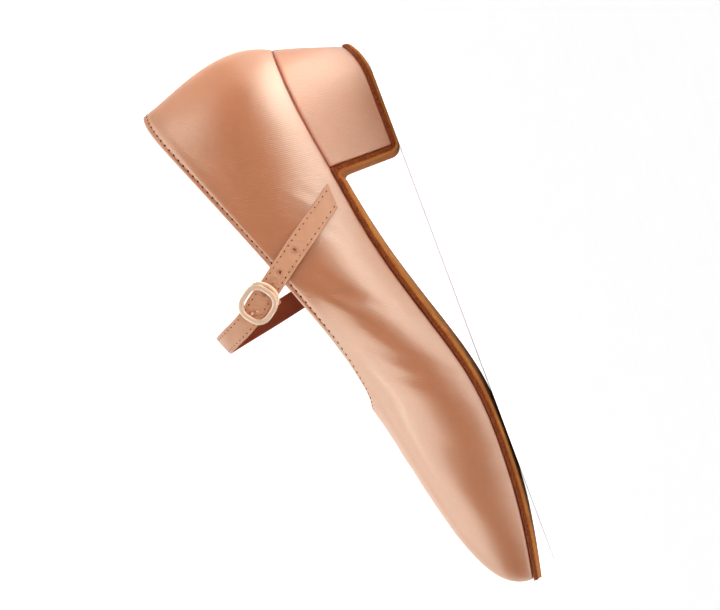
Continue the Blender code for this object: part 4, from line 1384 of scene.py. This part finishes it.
@dataclass
class Heel:
    """Block heel covered in the upper's satin, drawn over its top and bottom edges."""

    shoe: Shoe
    count: int = 240
    levels: int = 36
    folds: Spot = (3.0, 0.6)        # how far the cover's turned ends lie in
    edge_radius: float = 0.25
    edge_reach: float = 30.0        # how steeply the edges ease, over the heel's height
    top_gap: float = 0.05           # share of the usual gap that is left at the seat
    tread_gap: float = 0.25         # and at the tread
    # painted shade where the cover meets the tread and the seat
    tread_shade: Swell = Swell(0.95, 0.0, 0.6)
    seat_shade: Swell = Swell(0.95, 0.0, 0.9)

    def outline(self) -> Array:
        """Closed D-shaped seat outline with softly turned breast corners.

        Returns:
            A row (s, y) for each point.
        """
        breast_s = self.shoe.breast_s
        edge = self.shoe.outline(0.0)
        rear = np.roll(edge, -int(np.argmin(edge[:, 0])), 0)
        rear = rear[rear[:, 0] <= breast_s]
        split = int(np.argmax(np.diff(rear[:, 1]))) + 1
        outer, inner = self.shoe.span(edge, breast_s)
        arc = np.vstack([[(breast_s, inner)], rear[split:], rear[:split],
                         [(breast_s, outer), (breast_s, inner)]])
        run = run_along(arc)
        even = np.linspace(0.0, run[-1], self.count, endpoint=False)
        loop = np.column_stack([np.interp(even, run, arc[:, k]) for k in (0, 1)])
        for _ in range(3):
            loop = (np.roll(loop, 1, 0) + loop * 2.0 + np.roll(loop, -1, 0)) / 4.0
        return loop

    def build(self) -> None:
        """Make and hand over the covered heel."""
        shoe = self.shoe
        seat = self.outline()
        seat_top = shoe.feather_height(seat[:, 0]) - self.top_gap * shoe.gap
        foot_s = shoe.shrink_s(seat[:, 0], shoe.heel_back_in)
        tread = shoe.sole + self.tread_gap * shoe.gap + shoe.heel_rise(foot_s)
        inward = -shoe.outward(ring_tangent(seat))
        level = np.concatenate([[0.0, 0.0], np.linspace(0.0, 1.0, self.levels), [1.0, 1.0]])
        inset = np.concatenate([self.folds, np.zeros(self.levels), self.folds[::-1]])
        rings = []
        for stage, draw_in in zip(level, inset):
            s = shoe.shrink_s(seat[:, 0], shoe.heel_back_in * (1.0 - stage) ** 1.1)
            edges = hump(stage * self.edge_reach, 0.5) + hump((1.0 - stage) * self.edge_reach, 0.5)
            plan = np.column_stack([s, seat[:, 1] * shoe.heel_scale(stage)])
            plan += inward * (draw_in + 0.6 * self.edge_radius * edges)
            rings.append(np.column_stack([plan, tread + stage * (seat_top - tread)]))
        points = np.array(rings)
        up = np.concatenate([points[..., 2], points[:, :1, 2]], 1)
        uv = np.stack([np.broadcast_to(run_round(seat), up.shape), up], -1) * MM
        # painted shade darkening the cover towards its tread and seat edges
        painted_seam_shade = self.tread_shade.rise(points[..., 2] - tread) + self.seat_shade.rise(seat_top - points[..., 2])
        mesh = grid_mesh("heel_cover", points, (False, True), uv, {"painted_seam_shade": painted_seam_shade}, caps=True)
        hand_over(add_object(mesh, HEEL_SATIN), Slot.SATIN, "heel_block")


@dataclass
class Sock:
    """Leather sock lining over the insole board, gently cupped."""

    shoe: Shoe
    inset: float = 2.5
    thick: float = 3.4
    across: int = 31
    edge_drop: float = 0.7
    edge_width: float = 0.8

    def build(self) -> None:
        """Make and hand over the sock."""
        shoe = self.shoe
        outline, sole = shoe.outline(self.inset), shoe.outline(-shoe.sole_proud)
        back, toe = outline[:, 0].min() + 0.03, outline[:, 0].max() - 0.03
        boards, tops = [], []
        for turn in np.linspace(0.0, math.pi, 150):
            s = back + (toe - back) * (1.0 - math.cos(turn)) / 2
            y = shoe.across(outline, s, crowded(self.across))
            outer, inner = shoe.span(sole, s)
            spread = (2.0 * y - outer - inner) / (inner - outer)
            under = shoe.feather_height(s)[0] - shoe.sag(s) * (1.0 - spread**2)
            boards.append(crossing(y, s, under))
            tops.append(self.thick - self.edge_drop * hump(np.minimum(y - y[0], y[-1] - y), self.edge_width))
        up = np.tile([0.0, 0.0, 1.0], (len(boards), 1))
        points = ribbon(np.array(boards), up, np.zeros(self.across), np.array(tops))
        mesh = grid_mesh("sock_lining", points, (False, True), caps=True)
        hand_over(add_object(mesh, SOCK), Slot.SOCK, "insole")


# ------------------------------------------------------------------ strap and buckle
class Route(NamedTuple):
    """The strap's middle line at even steps, with its directions there."""

    at: Array                   # run along the strap
    middle: Array
    tangent: Array
    across: Array               # towards its toe-side edge
    normal: Array               # out of its face


@dataclass
class Strap:
    """Instep strap: calf face over a dark backing, punched and stitched along both edges."""

    shoe: Shoe
    width: float = 9.0
    thick: float = 1.6
    face_thick: float = 1.0
    backing_in: float = 0.1         # backing's edges, from the face's
    steps: int = 420
    rails: int = 29
    tail_end: Spot = (66.3, 32.8)
    tail_top: Spot = (88.2, 63.6)
    tail_stops: tuple[float, ...] = (0.0, 0.15, 0.30, 0.45, 0.60, 0.75, 0.90)
    tail_gap: float = 0.2           # room for the satin's relief under the tail
    tail_slant: float = -0.62
    slant_run: float = 12.0         # over which the slanted end straightens
    root_top: Spot = (99.6, 60.0)
    root_end: Spot = (97.4, 48.5)
    root_stops: tuple[float, ...] = (0.10, 0.55, 1.0)
    hole: float = 1.45              # the one that the prong stretches
    free_size: float = 1.15
    free_holes: int = 3
    hole_pitch: float = 10.9
    pinned_hole: float = 4.5        # from the buckle's middle
    free_hole: float = 5.0
    stitch_in: float = 1.4
    stitch_deep: float = 0.16       # stitch row below the face
    stitch_start: float = 1.6       # from the tail's end
    stitch_stop: float = 4.0        # from the root's end
    stitch: Stitch = Stitch(pitch=2.65, length=0.85, width=0.66, height=0.38, sink=0.06)
    groove: Swell = Swell(-0.14, 0.0, 0.3)      # under the stitches
    cushion: Swell = Swell(0.07, 3.2, 1.6)      # between the two rows
    hole_lip: Swell = Swell(0.12, 1.3, 0.7)
    hole_pull: Swell = Swell(0.08, 2.4, 1.5)
    hole_wear: Swell = Swell(0.42, 0.8, 0.9)
    edge: Swell = Swell(0.28, 0.0, 0.35)        # rounding of the cut edges
    crinkle_from: float = 5.0       # crinkled spot, from the first free hole
    crinkle_size: Spot = (1.6, 1.3)
    crinkle_height: float = 0.10
    crinkle_wear: float = 0.8
    slack: float = 0.03             # unevenness of the whole strap
    slack_pitch: float = 9.0
    most_worn: float = 0.85
    swell: float = 0.4              # each edge's spread where the buckle squeezes the strap
    swell_run: float = 4.5

    def wall_rails(self, start: Spot, end: Spot, stops: tuple[float, ...], side: Side, lift: float,
                   half: float) -> tuple[list[Array], list[Array]]:
        """Toe-side and heel-side edges of a band that lies along one wall.

        Args:
            start: side view place (s, h) where the band starts.
            end: side view place where it ends.
            stops: shares of the way.
            side: which wall.
            lift: distance out of the wall's face.
            half: half the band's width.

        Returns:
            The two edges as lists of points.
        """
        first, last = np.array(start), np.array(end)
        along = unit(last - first)
        aside = np.array([along[1], -along[0]]) * math.copysign(1.0, along[1])
        rails = ([], [])
        for stop in stops:
            centre = first + (last - first) * stop
            for rail, sign in zip(rails, (1.0, -1.0)):
                rail.append(self.shoe.skin(*(centre + aside * half * sign), side, lift))
        return rails

    def route(self, count: int) -> Route:
        """The strap's way from its tail, over the instep, to its root inside the inner wall.

        Args:
            count: number of steps.

        Returns:
            Its middle line and directions.
        """
        shoe, half = self.shoe, self.width / 2
        toe_rail, heel_rail = self.wall_rails(self.tail_end, self.tail_top, self.tail_stops, Side.OUTER,
                                              shoe.gap + self.tail_gap + self.thick / 2, half)
        for s, y, h, tilt in STRAP_ARCH.values():
            angle = math.radians(tilt)
            across = np.array([math.cos(angle), 0.0, -math.sin(angle)])
            toe_rail.append(np.array([s, y, h]) + across * half)
            heel_rail.append(np.array([s, y, h]) - across * half)
        root = self.wall_rails(self.root_top, self.root_end, self.root_stops, Side.INNER,
                               -(shoe.wall + 2.0 * shoe.gap + self.thick / 2), half)
        toe, heel = np.array(toe_rail + root[0]), np.array(heel_rail + root[1])
        middle = (toe + heel) / 2
        run = run_along(middle)
        at = np.linspace(0.0, run[-1], count)
        across = open_spline(run, toe - heel, at)
        middle = open_spline(run, middle, at)
        tangent = unit(np.gradient(middle, at, axis=0))
        across = unit(across - tangent * np.sum(across * tangent, axis=1, keepdims=True))
        return Route(at, middle, tangent, across, np.cross(across, tangent))

    def slant(self, at: Array, side: Array) -> Array:
        """How far the slanted tail shifts each point towards the tail's end."""
        return self.tail_slant * side * np.clip(1.0 - at / self.slant_run, 0.0, None)

    def relief(self, at: Array, side: Array, edge_in: Array, holes: list[float]) -> tuple[Array, Array]:
        """Grooves, hole lips, crinkles and wear of the strap's face.

        Args:
            at: run along the strap, as a column.
            side: place across it, as a row.
            edge_in: distance in from its edge, as a row.
            holes: run of each hole.

        Returns:
            How far each point stands out, and how worn it is from 0 to 1.
        """
        worn = np.zeros(np.broadcast_shapes(at.shape, side.shape))
        lift = worn + self.groove.rise(edge_in - self.stitch_in) + self.cushion.rise(edge_in)
        for run in holes:
            reach, angle = np.hypot(at - run, side), np.arctan2(side, at - run)
            lift += self.hole_lip.rise(reach) * (1.0 + 0.8 * np.sin(3.0 * angle + run))
            lift += np.sin((at - run) * 2.6 + side * 1.3 + run) * self.hole_pull.rise(reach)
            worn += self.hole_wear.rise(reach)
        crinkle = holes[1] - self.crinkle_from
        spot = hump(np.hypot((at - crinkle) / self.crinkle_size[0], side / self.crinkle_size[1]), 2.0)
        lift += self.crinkle_height * np.sin(at * 3.4 + np.sin(side * 1.7)) * spot
        worn += self.crinkle_wear * spot * (0.6 + 0.4 * np.sin(at * 5.0 + side * 2.3))
        lift += self.slack * waves(at + side * 0.3, self.slack_pitch, seed=4)
        return lift, np.clip(worn, 0.0, self.most_worn)

    def layer(self, name: str, high: float, low: float, narrow: float, finish: Finish,
              holes: list[float]) -> Object:
        """One layer of the strap, with its edges eased and its holes punched.

        Args:
            name: the piece's name.
            high: outer face above the middle of the strap.
            low: inner face.
            narrow: how far its edges lie in from the strap's.
            finish: its finish.
            holes: run of each hole.

        Returns:
            The piece.
        """
        route = self.route(self.steps)
        at, share, half = route.at[:, None], crowded(self.rails), self.width / 2 - narrow
        side = share * half
        lift, worn = self.relief(at, side, half - np.abs(side) + narrow, holes)
        squeezed = share * self.swell * hump(at - (holes[0] - self.pinned_hole), self.swell_run)
        ease = self.edge.rise(half - np.abs(side))
        place = (route.middle[:, None] + (side + squeezed)[..., None] * route.across[:, None]
                 - self.slant(at, side)[..., None] * route.tangent[:, None])
        points = ribbon(place, route.normal, high - ease + lift, low + ease * 0.5)
        marks = {"worn": np.concatenate([worn, worn[:, ::-1]], 1)}
        item = add_object(grid_mesh(name, points, (False, True), marks=marks, caps=True), finish)
        for number, run in enumerate(holes):
            k = int(np.argmin(np.abs(route.at - run)))
            line = route.middle[k] + np.outer(np.linspace(-3.0, 3.0, 5), route.normal[k])
            cut_away(item, tube_mesh("punch", line, (self.free_size if number else self.hole) / 2, 28))
        return item

    def stitches(self) -> list[Object]:
        """Two rows of small dark stitches, just inside the strap's edges.

        Returns:
            The two pieces.
        """
        at, middle, tangent, across, normal = self.route(600)
        keep = (at > self.stitch_start) & (at < at[-1] - self.stitch_stop)
        rows = []
        for number, sign in enumerate((1.0, -1.0)):
            side = sign * (self.width / 2 - self.stitch_in)
            line = middle + across * side - tangent * self.slant(at, side)[:, None]
            line = line + normal * (self.thick / 2 - self.stitch_deep)
            rows.append(self.stitch.row(f"strap_stitches_{number}", line[keep], normal[keep], False))
        return rows

    def build(self, buckle_run: float) -> None:
        """Make and hand over the strap's layers and stitches.

        Args:
            buckle_run: run of the buckle's middle along the strap.
        """
        holes = [buckle_run - self.free_hole - self.hole_pitch * k for k in range(self.free_holes)]
        holes.insert(0, buckle_run + self.pinned_hole)
        split = self.thick / 2 - self.face_thick
        face = self.layer("strap_face", self.thick / 2, split, 0.0, STRAP_FACE, holes)
        back = self.layer("strap_backing", split - 0.02, -self.thick / 2, self.backing_in, STRAP_BACK, holes)
        hand_over(face, Slot.STRAP, "strap")
        hand_over(back, Slot.STRAP)
        for row in self.stitches():
            hand_over(row, Slot.STRAP)


@dataclass
class Buckle:
    """Pale gold buckle: facetted ring, end bar, pivot bar, prong and the tab that holds it.

    Its own places are (along to the tail, across to the toe, out of the strap).
    """

    strap: Strap
    length: float = 16.0
    width: float = 15.0
    side: float = 2.6
    face: float = 2.3
    thick: float = 1.6
    corner: float = 6.2
    ease: float = 0.5               # of the ring's own edges
    lift: float = 2.5
    clear: float = 0.3              # play round the pivot
    bar_in: float = 0.2             # end bar's ends, from the ring's middle line
    bar_radius: float = 0.55
    bar_flat: float = 1.35
    bar_swing: float = 78.0         # degrees to each side
    bar_along: Spot = (2.0, 6.9)    # place of its ends, and its reach from there
    bar_out: Spot = (2.3, 0.55)     # height of its ends, and its drop from there
    pivot_along: float = 4.5
    pivot_drop: float = 3.5
    pivot_radius: float = 0.75
    pivot_bend: float = 1.3
    prong_radius: float = 0.62
    prong_eye: float = 0.65         # half the thickness of the eye's wall
    prong_tip: float = 0.8
    prong_line: tuple[Spot, ...] = ((2.0, -1.80), (0.0, -1.90), (-2.4, -2.05), (-3.6, -1.70), (-4.3, -0.90),
                                    (-4.50, 0.40), (-4.75, 1.40), (-5.00, 2.40))
    tab_width: float = 7.6
    tab_thick: float = 1.0
    tab_sewn: tuple[float, ...] = (9.0, 5.5, 2.0)   # below the topline, inside the wall
    tab_under: tuple[Spot, ...] = ((9.0, -4.9), (6.8, -5.05))
    tab_over: tuple[Spot, ...] = ((6.8, -2.1), (8.8, -2.5), (10.6, -2.75))
    slot_along: Spot = (1.2, 7.4)   # the prong's slot in the fold
    slot_half: float = 1.0
    slot_out: Spot = (-7.0, -0.8)

    def __post_init__(self) -> None:
        """Find the buckle's place on the strap."""
        route = self.strap.route(400)
        seat = np.array(STRAP_ARCH["buckle"][:3])
        k = int(np.argmin(np.linalg.norm(route.middle - seat, axis=1)))
        self.run = float(route.at[k])
        self.middle = route.middle[k]
        self.axes = np.array([-route.tangent[k], route.across[k], route.normal[k]])

    def place(self, points: Array) -> Array:
        """The buckle's own places as (s, y, h)."""
        return self.middle + np.asarray(points, float) @ self.axes

    def ring(self) -> Object:
        """The ring, swept by its tree and then laid over the strap.

        Returns:
            The piece.
        """
        item = add_object(bpy.data.meshes.new("buckle_ring"))
        sizes = {"Long": self.length - self.face, "Wide": self.width - self.face, "Face": self.face,
                 "Thick": self.thick, "Corner": self.corner - self.face / 2, "Ease": self.ease}
        grow(item, Trees.ring(), GOLD, {label: size * MM for label, size in sizes.items()})
        local = np.empty(len(item.data.vertices) * 3)
        item.data.vertices.foreach_get("co", local)
        local = local.reshape(-1, 3) / MM + [0.0, 0.0, self.lift]
        item.data.vertices.foreach_set("co", SHOE.to_frame(self.place(local)).ravel())
        outward_mesh(item.data)
        return item

    def end_bar(self) -> Object:
        """Second, lower bar behind the ring's tail-side end.

        Returns:
            The piece.
        """
        swing = math.radians(self.bar_swing)
        turn = np.linspace(-swing, swing, 25)
        half = (self.width - self.side) / 2 - self.bar_in
        line = np.column_stack([self.bar_along[0] + self.bar_along[1] * np.cos(turn) ** 0.6,
                                half * np.sin(turn) / math.sin(swing),
                                self.bar_out[0] - self.bar_out[1] * np.cos(turn)])
        bar = tube_mesh("buckle_end_bar", self.place(line), self.bar_radius, 16, self.bar_flat, self.axes[2])
        return add_object(bar, GOLD)

    def pivot(self) -> Object:
        """Pivot bar: down beside the strap, under it and up again.

        Returns:
            The piece.
        """
        side, bend = (self.width - self.side) / 2, self.pivot_bend
        bottom = bend - self.pivot_drop
        arm = [(side, out) for out in np.linspace(self.lift, bottom, 5)]
        arm += [(side - bend * (1.0 - math.cos(angle)), bottom - bend * math.sin(angle))
                for angle in np.radians(np.linspace(15.0, 90.0, 6))]
        both = arm + [(-across, out) for across, out in arm[::-1]]
        line = [(self.pivot_along, across, out) for across, out in both]
        return add_object(tube_mesh("buckle_pivot", self.place(line), self.pivot_radius), GOLD)

    def prong(self) -> Object:
        """Prong: eye round the pivot, run under the strap, tip up through its hole.

        Returns:
            The piece.
        """
        eye = self.pivot_radius + self.clear + self.prong_eye
        path = [(self.pivot_along + eye * math.cos(a), eye * math.sin(a) - self.pivot_drop)
                for a in np.radians(np.arange(-60, 91, 10))]
        path = np.array([(along, 0.0, out) for along, out in (*path, *self.prong_line)])
        run = run_along(path)
        fine = np.linspace(0.0, run[-1], 90)
        line = self.place(open_spline(run, path, fine))
        blunt = 1.0 - np.clip((run[-1] - fine) / self.prong_tip, 0.0, 1.0)
        radii = self.prong_radius * np.sqrt(np.clip(1.0 - blunt**2, 0.04, 1.0))
        return add_object(tube_mesh("buckle_prong_bar", line, radii), GOLD)

    def tab(self) -> Object:
        """Leather tab, sewn inside the outer wall and folded round the pivot.

        Returns:
            The piece.
        """
        strap, half, thick = self.strap, self.tab_width / 2, self.tab_thick / 2
        length = math.dist(strap.tail_top, strap.tail_end)
        stops = tuple(run / length for run in self.tab_sewn)
        toe, heel = strap.wall_rails(strap.tail_top, strap.tail_end, stops, Side.OUTER,
                                     -(strap.shoe.wall + strap.shoe.gap + thick), half)
        fold = self.pivot_radius + self.clear + thick
        bend = [(self.pivot_along - fold * math.cos(a), fold * math.sin(a) - self.pivot_drop)
                for a in np.radians(np.linspace(-90.0, 90.0, 9))]
        line = (*self.tab_under, *bend, *self.tab_over)
        toe = np.array(toe + [self.place((along, half, out)) for along, out in line])
        heel = np.array(heel + [self.place((along, -half, out)) for along, out in line])
        run = run_along((toe + heel) / 2)
        fine = np.linspace(0.0, run[-1], 120)
        toe, heel = open_spline(run, toe, fine), open_spline(run, heel, fine)
        middle, wide, share = (toe + heel) / 2, (toe - heel) / 2, crowded(17)
        out = unit(np.cross(wide, np.gradient(middle, axis=0)))
        high = thick - 0.2 * hump((1.0 - np.abs(share)) * half, 0.3)
        points = ribbon(middle[:, None] + share[:, None] * wide[:, None], out, high, -high)
        item = add_object(grid_mesh("buckle_tab_leather", points, (False, True), caps=True), STRAP_FACE)
        (near, far), across = self.slot_along, self.slot_half
        corners = ((near, -across), (far, -across), (far, across), (near, across))
        box = np.array([[self.place((*corner, out)) for corner in corners] for out in self.slot_out])
        cut_away(item, grid_mesh("tab_slot", box, (False, True), caps=True))
        return item

    def build(self) -> None:
        """Make and hand over the buckle's pieces."""
        hand_over(self.ring(), Slot.METAL, "buckle_frame")
        hand_over(self.end_bar(), Slot.METAL)
        hand_over(self.pivot(), Slot.METAL)
        hand_over(self.prong(), Slot.METAL, "buckle_prong")
        hand_over(self.tab(), Slot.STRAP, "buckle_tab")


# ------------------------------------------------------------------ studio
@dataclass(frozen=True)
class SoftBox:
    """One rectangular lamp, in metres and watts, whose light stays within `spread` degrees."""

    name: str
    place: Place
    size: Spot
    power: float
    toward: Place = (0.0, 0.0, 0.05)
    spread: float = 180.0

    def build(self) -> None:
        """Hang the lamp and turn it to its point."""
        data = bpy.data.lights.new(self.name, "AREA")
        data.shape = "RECTANGLE"
        data.size, data.size_y = self.size
        data.energy = self.power
        data.spread = math.radians(self.spread)
        item = add_object(data)
        item.location = self.place
        item.rotation_euler = (Vector(self.toward) - Vector(self.place)).to_track_quat("-Z", "Y").to_euler()


@dataclass
class Studio:
    """White paper sweep, soft boxes and the camera."""

    target: Place = (0.0115, 0.0, 0.0438)
    distance: float = 1.15
    scale: float = 2.42             # picture units per millimetre at the shoe
    picture: tuple[int, int] = (720, 610)
    aim: Spot = (345.0, 302.0)
    roll: float = 110.5
    elevation: float = -1.7
    room_light: float = 0.13
    paper: tuple[float, ...] = (-6.0, 2.4, 1.2, 5.0)    # front edge, start and radius of its curve, top
    lamps: tuple[SoftBox, ...] = (
        SoftBox("top_box", (0.0, -0.1, 3.0), (9.0, 7.0), 250.0, (0.0, -0.1, 0.0)),
        SoftBox("back_box", (0.0, 1.6, 1.6), (3.0, 1.2), 40.0, (0.0, 2.9, 0.3)),
        SoftBox("heel_box", (0.9, 0.1, 0.25), (0.9, 0.5), 0.45),
        SoftBox("floor_box", (0.0, -0.16, 0.30), (0.7, 0.16), 0.36, (0.0, -0.16, 0.0), 30.0),
        SoftBox("floor_box_back", (0.19, -0.07, 0.30), (0.10, 0.20), 0.25, (0.19, -0.07, 0.0), 24.0),
    )

    def camera(self) -> None:
        """Camera just over the floor at the shoe's outer side, rolled so that the toe points down."""
        data = bpy.data.cameras.new("studio_camera")
        data.sensor_width = 36.0
        data.lens = data.sensor_width * self.distance / (self.picture[0] / self.scale * MM)
        data.clip_start = 2.0 * MM
        item = add_object(data)
        roll, rise = math.radians(self.roll), math.radians(self.elevation)
        level, upright = Vector((1.0, 0.0, 0.0)), Vector((0.0, math.sin(rise), math.cos(rise)))
        right = level * math.cos(roll) - upright * math.sin(roll)
        up = level * math.sin(roll) + upright * math.cos(roll)
        back = right.cross(up)
        shift_right = (self.picture[0] / 2 - self.aim[0]) / self.scale * MM
        shift_up = (self.aim[1] - self.picture[1] / 2) / self.scale * MM
        item.matrix_world = Matrix((right, up, back)).transposed().to_4x4()
        item.location = Vector(self.target) + back * self.distance + right * shift_right + up * shift_up
        bpy.context.scene.camera = item

    def sweep(self) -> None:
        """Paper floor that curves up behind the shoe."""
        front, bend, radius, top = self.paper
        profile = [(front, 0.0), (bend, 0.0)]
        profile += [(bend + radius * math.sin(turn), radius - radius * math.cos(turn))
                    for turn in np.radians(np.linspace(7.5, 90.0, 12))]
        profile.append((bend + radius, top))
        count = len(profile)
        mesh = bpy.data.meshes.new("studio_floor")
        mesh.from_pydata([(x, y, z) for x in (-5.0, 5.0) for y, z in profile], [],
                         [(k, count + k, count + k + 1, k + 1) for k in range(count - 1)])
        mesh.shade_smooth()
        add_object(mesh, PAPER)

    def build(self) -> None:
        """Set up floor, lights and camera."""
        scene = bpy.context.scene
        scene.view_settings.view_transform = "Standard"
        scene.world = bpy.data.worlds.new("studio_world")
        scene.world.use_nodes = True
        backdrop = scene.world.node_tree.nodes["Background"]
        feed(backdrop, {"Color": linear("FFFFFF"), "Strength": self.room_light})
        self.sweep()
        for lamp in self.lamps:
            lamp.build()
        self.camera()


def main() -> None:
    """Build the shoe and its studio in order."""
    logging.basicConfig(level=logging.INFO, format="%(name)s: %(message)s")
    strap = Strap(SHOE)
    buckle = Buckle(strap)
    Upper(SHOE).build()
    Sole(SHOE).build()
    Heel(SHOE).build()
    Sock(SHOE).build()
    strap.build(buckle.run)
    buckle.build()
    Studio().build()


if __name__ == "__main__":
    main()
